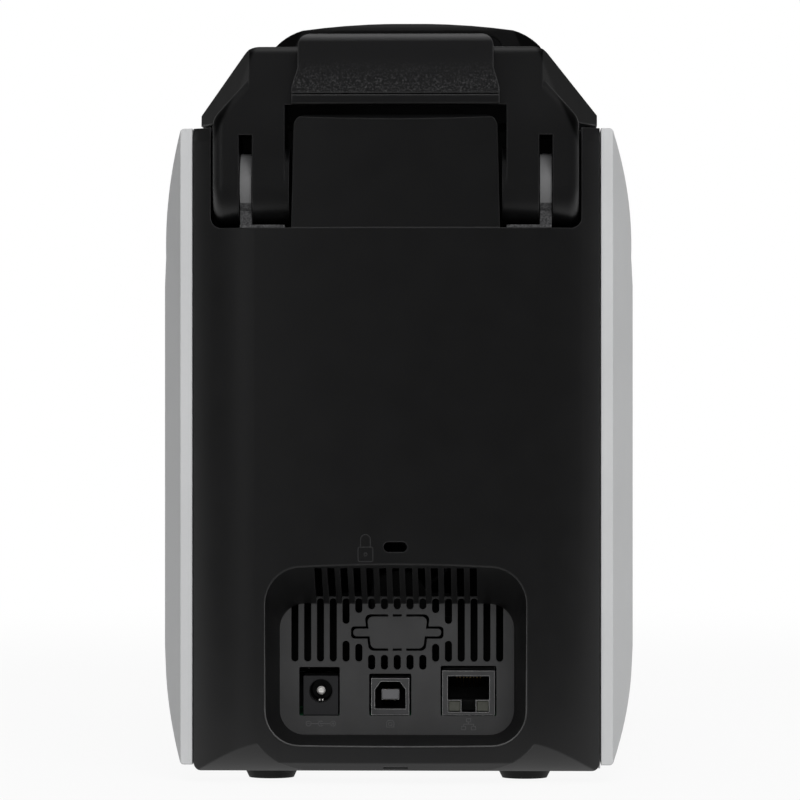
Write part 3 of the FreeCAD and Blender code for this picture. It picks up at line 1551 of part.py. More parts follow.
pieces = {
    "base_tray": base_tray, "rubber_feet": rubber_feet, "tray_screws": tray_screws,
    "rear_cover": rear_cover, "port_plate": port_plate, "front_cover": front_cover,
    "right_panel": side_panel, "left_panel": lambda: mirrored(side_panel()),
    "right_plate": side_plate, "left_plate": lambda: mirrored(side_plate()),
    "tie_bars": tie_bars, "inner_deck": inner_deck, "feeder_body": feeder_body,
    "feeder_follower": feeder_follower, "card_guide": card_guide, "output_chute": output_chute,
    "diverter_flap": diverter_flap, "output_hopper": output_hopper, "drive_belt": drive_belt,
    "motor_pulley": motor_pulley, "feed_motor": feed_motor,
    "supply_spool": lambda: spool(supply_y, supply_wound, supply_flange, frame_out + over),
    "takeup_spool": lambda: spool(takeup_y, takeup_wound, takeup_flange, gear_from + gear_wide + over),
    "takeup_gear": takeup_gear, "takeup_pinion": takeup_pinion, "ribbon_motor": ribbon_motor,
    "ribbon_frame": ribbon_frame, "ribbon_film": ribbon_film,
    "head_bracket": head_bracket, "print_head": print_head, "head_springs": head_springs,
    "main_board": main_board, "power_socket": power_socket, "usb_socket": usb_socket,
    "network_socket": network_socket, "fan_frame": fan_frame, "fan_bracket": fan_bracket,
    "fan_rotor": fan_rotor, "display_window": display_window, "control_board": control_board,
    "lid_cover": lid_cover, "lid_spine": lid_spine, "lid_liner": lid_liner, "lid_latch": lid_latch,
    "hinge_brackets": lambda: grouped(both(hinge_bracket())),
    "hinge_pins": lambda: grouped(both(hinge_pin())),
    "feeder_door": lambda: leaf(door_low, door_high),
    "output_flap": lambda: leaf(flap_low, flap_high),
    "cleaning_roller": lambda: idler(clean_y, clean_z, roller),
}
for name, make in pieces.items():
    save(name, make())
for name, x in key_places.items():
    save(name, key(x))
for name, y in rollers.items():
    if name in sleeved:
        save(name + "_shaft", driven_shaft(y))
        save(name + "_sleeve", sleeve(y))
    else:
        save(name + "_roller", driven_roller(y))
for name, y in pinches.items():
    save(name, idler(y, pinch_z, pinch))
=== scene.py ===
import json
import math
import bmesh
import bpy
import numpy as np
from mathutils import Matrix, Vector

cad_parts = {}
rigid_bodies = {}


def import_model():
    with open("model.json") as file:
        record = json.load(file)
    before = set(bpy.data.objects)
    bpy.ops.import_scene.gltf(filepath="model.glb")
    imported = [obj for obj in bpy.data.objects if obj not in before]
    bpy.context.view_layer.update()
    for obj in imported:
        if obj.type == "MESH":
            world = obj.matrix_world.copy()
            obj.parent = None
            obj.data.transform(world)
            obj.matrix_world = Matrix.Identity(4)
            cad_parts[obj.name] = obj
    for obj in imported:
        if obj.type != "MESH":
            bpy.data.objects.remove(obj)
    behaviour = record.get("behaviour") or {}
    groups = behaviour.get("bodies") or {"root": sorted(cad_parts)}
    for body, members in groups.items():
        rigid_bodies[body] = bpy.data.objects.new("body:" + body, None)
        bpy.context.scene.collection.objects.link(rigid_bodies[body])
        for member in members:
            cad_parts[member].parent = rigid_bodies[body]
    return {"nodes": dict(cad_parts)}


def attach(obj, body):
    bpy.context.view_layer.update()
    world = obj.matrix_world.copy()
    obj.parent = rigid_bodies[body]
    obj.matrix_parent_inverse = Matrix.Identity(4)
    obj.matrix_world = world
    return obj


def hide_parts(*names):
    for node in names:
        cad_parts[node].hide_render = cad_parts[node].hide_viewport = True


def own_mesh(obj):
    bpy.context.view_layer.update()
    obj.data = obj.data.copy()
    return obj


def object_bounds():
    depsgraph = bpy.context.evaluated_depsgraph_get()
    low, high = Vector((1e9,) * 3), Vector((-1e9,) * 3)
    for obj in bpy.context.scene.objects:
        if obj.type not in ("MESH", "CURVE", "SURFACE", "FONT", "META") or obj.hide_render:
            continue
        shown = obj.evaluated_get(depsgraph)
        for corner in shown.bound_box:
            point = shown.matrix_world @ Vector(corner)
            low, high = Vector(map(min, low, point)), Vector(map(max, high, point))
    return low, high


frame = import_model()
cadBox = [list(corner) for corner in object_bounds()]
mm = 0.001
nodes = frame["nodes"]
print("frame loaded:", len(nodes), "nodes")


# camera first: a long lens at desk height behind the machine, level, a little to its left
photo = dict(lens=211.7, sensor=36.0, x=-36.6, aim=-1.4, distance=1399.5, height=114.7, reach=20.0)


def placeCamera():
    data = bpy.data.cameras.new("rearCamera")
    data.lens, data.sensor_width, data.clip_end = photo["lens"], photo["sensor"], photo["reach"]
    camera = bpy.data.objects.new("rearCamera", data)
    bpy.context.scene.collection.objects.link(camera)
    x, away, z = photo["x"] * mm, photo["distance"] * mm, photo["height"] * mm
    turn = math.atan2(photo["aim"] * mm - x, away)
    camera.location = (x, cadBox[1][1] + away, z)
    camera.rotation_euler = (math.pi / 2, 0, math.pi + turn)
    bpy.context.scene.camera = camera
    print("camera turned by", round(math.degrees(turn), 2), "degrees")


placeCamera()


# shader maths as Python expressions
class Sock:
    # wraps an output socket; + - * and the forms with a plain number first add Math nodes
    def __init__(self, finish, socket):
        self.finish, self.socket = finish, socket

    def math(self, operation, *values):
        return self.finish.add("ShaderNodeMath", dict(operation=operation), dict(enumerate(values)))

    def __add__(self, other):
        return self.math("ADD", self, other)

    def __radd__(self, other):
        return self.math("ADD", other, self)

    def __sub__(self, other):
        return self.math("SUBTRACT", self, other)

    def __rsub__(self, other):
        return self.math("SUBTRACT", other, self)

    def __mul__(self, other):
        return self.math("MULTIPLY", self, other)

    def absolute(self):
        return self.math("ABSOLUTE", self)

    def power(self, exponent):
        return self.math("POWER", self, exponent)

    def wave(self):
        return self.math("SINE", self)

    def least(self, other):
        return self.math("MINIMUM", self, other)

    def most(self, other):
        return self.math("MAXIMUM", self, other)

    def smooth(self, low, high, toLow=0.0, toHigh=1.0):
        return self.finish.add("ShaderNodeMapRange", dict(interpolation_type="SMOOTHSTEP", clamp=True),
                               {0: self, 1: low, 2: high, 3: toLow, 4: toHigh})


class Finish:
    # a new material with its Principled shader, or the node tree that is handed in
    def __init__(self, name=None, tree=None):
        self.tree, self.place = tree, None
        if tree is None:
            self.material = bpy.data.materials.new(name)
            self.material.use_nodes = True
            self.tree = self.material.node_tree
            self.shader = self.tree.nodes["Principled BSDF"]

    def add(self, kind, settings=None, inputs=None, output=0):
        node = self.tree.nodes.new(kind)
        for name, value in (settings or {}).items():
            setattr(node, name, value)
        for name, value in (inputs or {}).items():
            self.link(value, node.inputs[name])
        return Sock(self, node.outputs[output])

    def link(self, value, socket):
        if isinstance(value, Sock):
            self.tree.links.new(value.socket, socket)
        else:
            socket.default_value = value

    def set(self, **values):
        # constants stay on the shader's own sockets; wrapped sockets are linked
        for name, value in values.items():
            self.link(value, self.shader.inputs[name.replace("_", " ")])
        return self

    def spot(self):
        # object coordinates in millimetres
        if self.place is None:
            coords = self.add("ShaderNodeTexCoord", output=3)
            self.place = self.add("ShaderNodeVectorMath", dict(operation="SCALE"),
                                  {0: coords, "Scale": 1.0 / mm})
        return self.place

    def axes(self):
        parts = self.add("ShaderNodeSeparateXYZ", inputs={0: self.spot()})
        return [Sock(self, parts.socket.node.outputs[i]) for i in range(3)]

    def noise(self, size, detail=2.0, rough=0.5, stretch=None):
        # grain of about that size in millimetres, drawn out along the ways whose stretch is small
        place = self.spot()
        if stretch:
            place = self.add("ShaderNodeVectorMath", dict(operation="MULTIPLY"), {0: place, 1: stretch})
        return self.add("ShaderNodeTexNoise", dict(noise_dimensions="3D"),
                        {"Vector": place, "Scale": 1.0 / size, "Detail": detail, "Roughness": rough})

    def streaks(self, stretch):
        # rolling and brushing marks
        return self.noise(0.5, detail=3.0, rough=0.6, stretch=stretch)

    def cells(self, scale, random, distance="EUCLIDEAN"):
        # distance to the nearest of scattered points
        return self.add("ShaderNodeTexVoronoi", dict(feature="F1", distance=distance),
                        {"Vector": self.spot(), "Scale": scale, "Randomness": random})

    def mix(self, amount, first, second):
        # colours blended by a mask
        node = self.tree.nodes.new("ShaderNodeMix")
        node.data_type = "RGBA"
        self.link(amount, node.inputs["Factor"])
        for place, colour in ((6, first), (7, second)):
            self.link(colour if isinstance(colour, Sock) else tuple(colour) + (1.0,), node.inputs[place])
        return Sock(self, node.outputs[2])

    def bands(self, amount, colours):
        # equal bands of plain colours, one after another
        ramp = self.add("ShaderNodeValToRGB", inputs={0: amount})
        stops = ramp.socket.node.color_ramp
        stops.interpolation = "CONSTANT"
        while len(stops.elements) < len(colours):
            stops.elements.new(0.5)
        for i, (element, colour) in enumerate(zip(stops.elements, colours)):
            element.position, element.color = i / (len(colours) - 1), tuple(colour) + (1.0,)
        return ramp

    def bump(self, height, strength, distance, under=None):
        inputs = {"Height": height, "Strength": strength, "Distance": distance * mm}
        if under is not None:
            inputs["Normal"] = under
        return self.add("ShaderNodeBump", inputs=inputs)

    def softEdge(self, radius):
        # the moulding radius along its edges
        return self.add("ShaderNodeBevel", dict(samples=6), {"Radius": radius * mm})

    def paintedEdgeHighlight(self, radius, low=0.05, high=0.35):
        # mask for painted edge highlights: 1 along sharp edges, where the bevelled normal leaves the face's own
        rounded = self.softEdge(radius)
        own = self.add("ShaderNodeNewGeometry", output=1)
        dot = self.add("ShaderNodeVectorMath", dict(operation="DOT_PRODUCT"), {0: rounded, 1: own}, output=1)
        return (1.0 - dot).smooth(low, high)


finishes = {}


def finish(name, make):
    # each material is made once
    if name not in finishes:
        finishes[name] = make(Finish(name)).material
    return finishes[name]


def shaded(colour, factor):
    return [min(1.0, part * factor) for part in colour]


# black moulded shell: spark-eroded grain, faintly mottled gloss, soft edges lightened in colour as a painted
# highlight
shell = dict(colour=(0.0036, 0.0036, 0.0038), worn_and_highlight=(0.05, 0.05, 0.051), grain=0.34, mottle=9.0, edge=0.7,
             rough=0.42, shine=0.42)


def blackShell(m, colour=shell["colour"], grain=shell["grain"], edge=shell["edge"], rough=shell["rough"]):
    fine = m.noise(grain, detail=2.0, rough=0.6)
    broad = m.noise(shell["mottle"], detail=3.0)
    rim = m.paintedEdgeHighlight(edge)
    # painted highlight: the edge mask lifts the colour towards a lighter grey along the edges
    tint = m.mix(rim * 0.6, m.mix(broad, shaded(colour, 0.8), shaded(colour, 1.25)), shell["worn_and_highlight"])
    return m.set(Base_Color=tint, Roughness=rough - 0.06 + broad * 0.12 - rim * 0.05,
                 Normal=m.bump(fine, strength=0.35, distance=0.05, under=m.softEdge(edge)),
                 Specular_IOR_Level=shell["shine"])


# the lid: its wings beside the arms, above a slanted line, and its hood get a metallic mask that darkens them, a
# painted shade
lid = dict(foot=198.0, lean=0.43, wings=(50.9, 52.3), ahead=(-20.0, 10.0), hood=(228.0, 232.0))


def lidShell(m):
    x, y, z = m.axes()
    wings = (x.absolute() + (z - lid["foot"]) * lid["lean"]).smooth(*lid["wings"]) * y.smooth(*lid["ahead"])
    # painted shade: the metallic mask over the black colour dims the wings and the hood
    return blackShell(m).set(Metallic=(wings * 0.8).most(z.smooth(*lid["hood"]) * 0.42))


# the hinge cap: smooth above, a coarse grain on its foot with lighter specks, a lighter crest and lighter edges,
# all painted highlights, a plain lip below
cap = dict(foot=(206.0, 218.0), lip=(205.6, 206.3), crest_highlight=(221.4, 223.4), rear=(175.5, 178.0),
           speck_highlight=(0.45, 0.72), edge=1.0, colour=(0.0042, 0.0042, 0.0045), lit=(0.06, 0.06, 0.061))


def spineShell(m):
    y, z = m.axes()[1:]
    foot = (1.0 - z.smooth(*cap["foot"])) * z.smooth(*cap["lip"])
    crest_highlight = z.smooth(*cap["crest_highlight"]) * y.smooth(*cap["rear"])
    coarse = m.noise(0.6, detail=3.0, rough=0.7)
    fine = m.noise(shell["grain"], detail=2.0, rough=0.6)
    speck_highlight = coarse.smooth(*cap["speck_highlight"]) * foot
    # painted highlights: specks on the foot, the crest and the edges are mixed towards the lit colour
    shine = (speck_highlight * 0.6 + crest_highlight * 0.6 + m.paintedEdgeHighlight(cap["edge"])).least(1.0)
    grain = m.bump(coarse * foot + fine * 0.3, strength=0.45, distance=0.1, under=m.softEdge(cap["edge"]))
    return m.set(Base_Color=m.mix(shine, cap["colour"], cap["lit"]), Roughness=0.4 + foot * 0.1, Normal=grain,
                 Specular_IOR_Level=shell["shine"])


# silver side panels: metallic paint with a fine sparkle and a satin coat
silver = dict(colour=(0.47, 0.475, 0.48), light=(0.56, 0.565, 0.57), flake=0.12, cloud=24.0, edge=0.6)


def silverPaint(m):
    flake = m.noise(silver["flake"], detail=0.0)
    cloud = m.noise(silver["cloud"], detail=2.0)
    return m.set(Base_Color=m.mix(cloud * 0.6 + flake * 0.4, silver["colour"], silver["light"]),
                 Metallic=0.05 + flake * 0.1, Roughness=0.46 + cloud * 0.08,
                 Normal=m.bump(flake, strength=0.08, distance=0.02, under=m.softEdge(silver["edge"])),
                 Specular_IOR_Level=0.15)


def moulded(colour, rough=0.5, grain=0.3, edge=0.35):
    # plain moulded plastic of that colour
    def make(m):
        broad = m.noise(7.0, detail=2.0)
        fine = m.noise(grain, detail=1.0)
        return m.set(Base_Color=m.mix(broad, shaded(colour, 0.88), shaded(colour, 1.12)),
                     Roughness=rough - 0.06 + broad * 0.12,
                     Normal=m.bump(fine, strength=0.25, distance=0.04, under=m.softEdge(edge)),
                     Specular_IOR_Level=0.4)
    return make


# hinge bracket: a satin lug over a darker riser with a coarse grain
hinge = dict(step=(173.4, 173.8), lug=(0.115, 0.115, 0.117), dark=(0.022, 0.022, 0.023), light=(0.07, 0.07, 0.072))


def hingeGrey(m):
    riser = 1.0 - m.axes()[2].smooth(*hinge["step"])
    coarse = m.noise(0.55, detail=3.0, rough=0.7)
    rough = m.mix(coarse.smooth(0.35, 0.65), hinge["dark"], hinge["light"])
    return m.set(Base_Color=m.mix(riser, hinge["lug"], rough), Roughness=0.42 + riser * 0.2,
                 Normal=m.bump(coarse * riser, strength=0.5, distance=0.12, under=m.softEdge(0.3)),
                 Specular_IOR_Level=0.4)


def sheetMetal(colour=(0.56, 0.56, 0.57), along=(1.0, 0.06, 1.0)):
    # rolled sheet: streaks along one way, cloudy gloss
    def make(m):
        streak = m.streaks(along)
        cloud = m.noise(11.0, detail=3.0)
        return m.set(Base_Color=m.mix(cloud, shaded(colour, 0.8), colour), Metallic=1.0,
                     Roughness=0.26 + streak * 0.12 + cloud * 0.1,
                     Normal=m.bump(streak, strength=0.18, distance=0.02, under=m.softEdge(0.25)))
    return make


# print head: brushed metal over a glazed ceramic foot with its dark heater line
heater = dict(foot=(131.45, 131.55), line=70.9, half=(0.7, 0.9), metal=((0.52, 0.52, 0.52), (0.68, 0.68, 0.68)),
              glaze=(0.55, 0.5, 0.4), dark=(0.06, 0.03, 0.015))


def headMetal(m):
    y, z = m.axes()[1:]
    foot = 1.0 - z.smooth(*heater["foot"])
    line = (1.0 - (y - heater["line"]).absolute().smooth(*heater["half"])) * foot
    streak = m.streaks((0.06, 1.0, 1.0))
    metal = m.mix(m.noise(9.0, detail=3.0), *heater["metal"])
    return m.set(Base_Color=m.mix(line, m.mix(foot, metal, heater["glaze"]), heater["dark"]),
                 Metallic=1.0 - foot, Roughness=0.3 + streak * 0.12 - foot * 0.15,
                 Normal=m.bump(streak * (1.0 - foot), strength=0.18, distance=0.02, under=m.softEdge(0.25)))


def shadeBlackedSteel(m):
    # matt black sheet behind the louvres, with a little dust; its black is deeper and duller than paint, a painted
    # shade inside the slots
    dust = m.noise(4.0, detail=4.0)
    return m.set(Base_Color=m.mix(dust, (0.002, 0.002, 0.002), (0.005, 0.005, 0.005)),
                 Roughness=0.7 + dust * 0.15, Normal=m.bump(m.noise(0.5, detail=2.0), strength=0.2, distance=0.04),
                 Specular_IOR_Level=0.06)


# formed shells of the sockets: dull faces; their sheared edges are bare metal, and the bright colour along them is
# a painted highlight
tin = dict(dark=(0.07, 0.07, 0.072), light=(0.12, 0.12, 0.122), cut=(0.85, 0.85, 0.85), edge=(0.35, 0.02, 0.2))


def tinPlate(m):
    cloud = m.noise(5.0, detail=3.0)
    # painted highlight along the sheared edges
    cut = m.paintedEdgeHighlight(*tin["edge"])
    return m.set(Base_Color=m.mix(cut, m.mix(cloud, tin["dark"], tin["light"]), tin["cut"]), Metallic=0.75,
                 Roughness=0.36 + cloud * 0.14 - cut * 0.1,
                 Normal=m.bump(m.streaks((1.0, 1.0, 0.1)), strength=0.15, distance=0.02, under=m.softEdge(0.2)))


def turned(colour=(0.66, 0.66, 0.67), metallic=1.0):
    # ground shaft: rings round the X axis
    def make(m):
        ring = (m.axes()[0] * 14.0).wave() * 0.5 + 0.5
        cloud = m.noise(6.0, detail=2.0)
        return m.set(Base_Color=m.mix(cloud, shaded(colour, 0.85), colour), Metallic=metallic,
                     Roughness=0.2 + cloud * 0.12,
                     Normal=m.bump(ring, strength=0.06, distance=0.02, under=m.softEdge(0.25)))
    return make


def rubber(colour=(0.022, 0.022, 0.022), dusty=0.05):
    # moulded rubber with a fine grain and dust in patches
    def make(m):
        dust = m.noise(5.0, detail=4.0).smooth(0.5, 0.85)
        fine = m.noise(0.5, detail=3.0)
        return m.set(Base_Color=m.mix(dust * 0.35, colour, [part + dusty for part in colour]),
                     Roughness=0.75 + dust * 0.1,
                     Normal=m.bump(fine, strength=0.3, distance=0.05, under=m.softEdge(0.4)),
                     Specular_IOR_Level=0.3)
    return make


def groundRubber(m):
    # rollers ground round their axis, dusty in bands
    rings = (m.axes()[0] * 9.0).wave() * 0.5 + 0.5
    band = m.noise(3.0, detail=3.0, rough=0.5, stretch=(1.0, 0.15, 0.15)).smooth(0.4, 0.8)
    grain = m.bump(m.noise(0.5, detail=3.0), strength=0.25, distance=0.05, under=m.softEdge(0.4))
    return m.set(Base_Color=m.mix(band, (0.06, 0.06, 0.064), (0.11, 0.11, 0.115)), Roughness=0.62 + band * 0.15,
                 Normal=m.bump(rings, strength=0.12, distance=0.05, under=grain), Specular_IOR_Level=0.3)


# circuit board: solder mask over square copper tracks, bare pads, black parts and tall aluminium cans
board = dict(parts=(19.8, 19.85), cans=(30.5, 30.6), over=(59.7, 60.7), bare=(0.6, 0.6, 0.6),
             mask=((0.008, 0.055, 0.022), (0.018, 0.11, 0.045)), pad=(0.62, 0.58, 0.46), part=(0.014, 0.014, 0.015))


def circuitBoard(m):
    z = m.axes()[2]
    track = (m.cells(scale=0.28, random=0.7, distance="CHEBYCHEV") * 26.0).wave().smooth(0.6, 0.9)
    pad = 1.0 - m.cells(scale=0.3, random=1.0).smooth(0.10, 0.13)
    part = z.smooth(*board["parts"]) * (1.0 - z.smooth(*board["over"]))
    can = part * z.smooth(*board["cans"])
    bare = (pad * (1.0 - part)).most(can)
    laid = m.mix(pad, m.mix(track, *board["mask"]), board["pad"])
    return m.set(Base_Color=m.mix(can, m.mix(part, laid, board["part"]), board["bare"]), Metallic=bare * 0.9,
                 Roughness=0.4 - bare * 0.1, Normal=m.bump(track * (1.0 - part), strength=0.2, distance=0.04))


# ribbon film: colour panels one after another along the way of the film, glossy and thin
film = dict(along=(0.055, 0.018), panels=((0.55, 0.38, 0.01), (0.42, 0.01, 0.09), (0.01, 0.16, 0.34),
                                          (0.012, 0.012, 0.014), (0.3, 0.3, 0.3)))


def ribbonFilm(m):
    y, z = m.axes()[1:]
    way = y * film["along"][0] + z * film["along"][1]
    wrinkle = m.noise(3.0, detail=2.0, rough=0.5, stretch=(0.3, 1.0, 1.0))
    return m.set(Base_Color=m.bands(way.math("FRACT", way), film["panels"]), Roughness=0.16 + wrinkle * 0.1,
                 Normal=m.bump(wrinkle, strength=0.1, distance=0.1))


def darkWindow(m):
    smear = m.noise(8.0, detail=3.0)
    return m.set(Base_Color=m.mix(smear, (0.012, 0.016, 0.016), (0.02, 0.025, 0.024)),
                 Roughness=0.08 + smear * 0.06, Normal=m.softEdge(0.4), Coat_Weight=0.6, Coat_Roughness=0.03)


def portShell(m):
    return blackShell(m, colour=(0.034, 0.034, 0.0345), grain=0.3, edge=0.3, rough=0.5)


# which finish each solid of the frame wears
coats = dict(
    blackShell=(blackShell, "rear_cover front_cover feeder_door output_flap"),
    lidShell=(lidShell, "lid_cover"),
    spineShell=(spineShell, "lid_spine"),
    portShell=(portShell, "port_plate"),
    silverPaint=(silverPaint, "right_panel left_panel"),
    innerPlastic=(moulded((0.035, 0.035, 0.038)), "inner_deck lid_liner feeder_body output_hopper"),
    hingeGrey=(hingeGrey, "hinge_brackets"),
    midGrey=(moulded((0.11, 0.11, 0.115)), "feeder_follower diverter_flap lid_latch"),
    palePlastic=(moulded((0.62, 0.62, 0.59), rough=0.4), "takeup_gear takeup_pinion ribbon_frame takeup_spool"),
    keyGrey=(moulded((0.2, 0.2, 0.205), rough=0.35), "key_left key_right power_button"),
    steelSheet=(sheetMetal(), "base_tray right_plate left_plate card_guide output_chute head_bracket"),
    shadeBlackedSteel=(shadeBlackedSteel, "fan_bracket"),
    motorSteel=(sheetMetal((0.34, 0.34, 0.35)), "feed_motor ribbon_motor"),
    turnedSteel=(turned(), "tie_bars tray_screws hinge_pins feed_shaft platen_shaft head_springs motor_pulley"),
    headMetal=(headMetal, "print_head"),
    feetRubber=(rubber((0.016, 0.016, 0.016)), "rubber_feet"),
    blackRubber=(rubber(), "drive_belt platen_sleeve"),
    greyRubber=(groundRubber, "pick_roller exit_roller feed_sleeve pinch_front pinch_rear cleaning_roller"),
    circuitBoard=(circuitBoard, "main_board control_board"),
    ribbonFilm=(ribbonFilm, "supply_spool ribbon_film"),
    blackNylon=(moulded((0.012, 0.012, 0.013), rough=0.4), "power_socket fan_frame fan_rotor"),
    tinPlate=(tinPlate, "usb_socket network_socket"),
    darkWindow=(darkWindow, "display_window"))

for coat, (make, clad) in coats.items():
    for name in clad.split():
        mesh = nodes[name].data
        mesh.materials.clear()
        mesh.materials.append(finish(coat, make))
print("node finishes set:", len(finishes))


# surfaces worked out with numpy, in millimetres
made = bpy.data.collections.new("made")
bpy.context.scene.collection.children.link(made)


def build(name, bands, body, material):
    # each band is a grid of points, each row a closed line; its rows may close too, or its ends be capped
    spots, faces, start = [], [], 0
    for grid, closed, capped in bands:
        rows, columns = grid.shape[:2]
        place = np.arange(rows * columns).reshape(rows, columns) + start
        start += rows * columns
        ends = [place[0].tolist(), place[-1][::-1].tolist()] if capped else []
        if closed:
            place = np.vstack([place, place[:1]])
        place = np.hstack([place, place[:, :1]])
        quads = np.stack([place[:-1, :-1], place[:-1, 1:], place[1:, 1:], place[1:, :-1]], -1)
        faces += quads.reshape(-1, 4).tolist() + ends
        spots.append(grid.reshape(-1, 3))
    mesh = bpy.data.meshes.new(name)
    mesh.from_pydata((np.vstack(spots) * mm).tolist(), [], faces)
    work = bmesh.new()
    work.from_mesh(mesh)
    bmesh.ops.remove_doubles(work, verts=work.verts, dist=1e-7)
    bmesh.ops.recalc_face_normals(work, faces=work.faces)
    work.to_mesh(mesh)
    work.free()
    mesh.materials.append(material)
    piece = bpy.data.objects.new(name, mesh)
    made.objects.link(piece)
    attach(piece, body)
    return piece


# cross-section of a raised line: share of the width, share of the height; its feet lie sunk in the face, and
# a mitre stretches it to 1 / 0.4 of the width at most
pen = dict(side=(-0.5, -0.42, -0.2, 0.2, 0.42, 0.5), rise=(0.0, 0.55, 1.0, 1.0, 0.55, 0.0), sunk=0.12, mitre=0.4)


def ridge(points, width, height, place, closed=False):
    # the cross-section is carried along a flat line with mitred corners
    line = np.array(points, float)
    before = line - np.roll(line, 1, 0)
    after = np.roll(line, -1, 0) - line
    if not closed:
        before[0], after[-1] = after[0], before[-1]
    before /= np.linalg.norm(before, axis=1)[:, None]
    after /= np.linalg.norm(after, axis=1)[:, None]
    mean = before + after
    mean /= np.linalg.norm(mean, axis=1)[:, None]
    across = np.stack([-mean[:, 1], mean[:, 0]], 1)
    stretch = 1.0 / np.maximum(pen["mitre"], (across * np.stack([-after[:, 1], after[:, 0]], 1)).sum(1))
    side = np.array(pen["side"]) * width
    lift = np.array(pen["rise"]) * height
    lift[[0, -1]] = -pen["sunk"]
    flat = line[:, None, :] + across[:, None, :] * (side[None, :, None] * stretch[:, None, None])
    return place(flat[..., 0], flat[..., 1], np.broadcast_to(lift, flat.shape[:2])), closed, not closed


def drawSign(name, strokes, style, place, body, material):
    # strokes are pairs of a line and whether it closes
    bands = [ridge(points, style["line"], style["high"], place, closed) for points, closed in strokes]
    build(name, bands, body, material)


def arc(u, v, radius, start, end, count=16):
    # points of an arc, degrees anticlockwise from the right
    turn = np.radians(np.linspace(start, end, count))
    return np.stack([u + radius * np.cos(turn), v + radius * np.sin(turn)], 1)


def softBoxLine(u0, u1, v0, v1, radius, count=5):
    # outline of a rectangle with round corners, anticlockwise
    corners = [(u1 - radius, v0 + radius, -90), (u1 - radius, v1 - radius, 0), (u0 + radius, v1 - radius, 90),
               (u0 + radius, v0 + radius, 180)]
    return np.vstack([arc(u, v, radius, a, a + 90, count) for u, v, a in corners])


def finer(line, parts):
    # closed line with each of its steps split into equal parts
    loop = np.vstack([line, line[:1]])
    at = np.arange(0, len(line), 1.0 / parts)
    return np.stack([np.interp(at, np.arange(len(loop)), loop[:, k]) for k in range(2)], 1)


def ring(x, z, profile, count=40):
    # profile of (y, radius) turned round an axis along Y
    along, radius = np.array(profile, float).T
    turn = np.linspace(0, 2 * np.pi, count, endpoint=False)
    c, s = radius[:, None] * np.cos(turn), radius[:, None] * np.sin(turn)
    return np.stack([x + c, np.broadcast_to(along[:, None], c.shape), z + s], -1)


def block(x0, x1, y0, y1, z0, z1, soft):
    # bar along Y with softened long edges and drawn-in ends
    rows = []
    for y, inset in ((y0, soft), (y0 + soft, 0.0), (y1 - soft, 0.0), (y1, soft)):
        line = softBoxLine(x0 + inset, x1 - inset, z0 + inset, z1 - inset, soft)
        rows.append(np.column_stack([line[:, 0], np.full(len(line), y), line[:, 1]]))
    return np.array(rows), False, True


def printedLine(colour):
    def make(m):
        worn_and_highlight = m.noise(0.6, detail=3.0).smooth(0.25, 0.75)
        return m.set(Base_Color=m.mix(worn_and_highlight, shaded(colour, 0.75), colour), Roughness=0.5 + worn_and_highlight * 0.1,
                     Normal=m.bump(worn_and_highlight, strength=0.2, distance=0.03), Specular_IOR_Level=0.4)
    return make


def lampLens(m):
    # clear light guides over lamps that are off
    milk = m.noise(0.8, detail=2.0)
    return m.set(Base_Color=m.mix(milk, (0.035, 0.037, 0.03), (0.07, 0.07, 0.06)), Roughness=0.2 + milk * 0.1,
                 Normal=m.softEdge(0.15), Coat_Weight=0.4, Coat_Roughness=0.05)


# plain finishes of the made pieces
# the sockets' linings share the louvre sheet's near-black, a painted shade
paintedShadeBlack = finishes["shadeBlackedSteel"]
blackPlastic = finish("blackPlastic", moulded((0.006, 0.006, 0.0065), grain=0.2, edge=0.1))
tongueGrey = finish("tongueGrey", moulded((0.10, 0.10, 0.105), rough=0.45, grain=0.25, edge=0.15))
ringGrey = finish("ringGrey", moulded((0.16, 0.16, 0.165), rough=0.35))
# the pins are only half metallic, so their pale colour shows bright as a painted glint
pinGlintMetal = finish("pinGlintMetal", turned((0.9, 0.88, 0.85), metallic=0.55))
gold = finish("gold", sheetMetal((0.4, 0.28, 0.12), along=(0.2, 1.0, 1.0)))
lens = finish("lampLens", lampLens)
lineBlack = finish("lineBlack", printedLine((0.02, 0.02, 0.0205)))
lineGrey = finish("lineGrey", printedLine((0.085, 0.085, 0.087)))
linePale = finish("linePale", printedLine((0.5, 0.5, 0.5)))


# the covers' outer faces: both fall back towards the sides; the port plate is flat
crown = dict(face=183.0, drop=2.5, half=42.0, port=165.0)


def crowned(x):
    return crown["drop"] * (x / crown["half"]) ** 2


def onRear(x0, z0):
    # u to the viewer's right, v up, h off the crowned rear face
    def place(u, v, h):
        return np.stack([x0 - u, crown["face"] - crowned(x0 - u) + h, z0 + v], -1)
    return place


def onPort(x0, z0):
    # the same on the port plate
    def place(u, v, h):
        return np.stack([x0 - u, crown["port"] + h, z0 + v], -1)
    return place


def frontFace(x, face=crown["face"]):
    # y of the crowned front, or of the lens behind it
    return crowned(x) - face


# padlock outline beside the lock slot: body, shackle and keyhole as one raised line
padlock = dict(x=8.9, z=66.6, half=2.2, tall=4.3, corner=0.5, shackle=1.45, rise=2.3, keyhole=0.45,
               line=0.34, high=0.06)


def makePadlock():
    half, tall, bow = padlock["half"], padlock["tall"], padlock["shackle"]
    shackle = np.vstack([[(bow, tall)], arc(0, tall + padlock["rise"], bow, 0, 180, 14), [(-bow, tall)]])
    strokes = [(softBoxLine(-half, half, 0.0, tall, padlock["corner"]), True), (shackle, False),
               (arc(0, tall / 2, padlock["keyhole"], 0, 340, 12), True)]
    drawSign("padlockSign", strokes, padlock, onRear(padlock["x"], padlock["z"]), "housing",
             lineBlack)


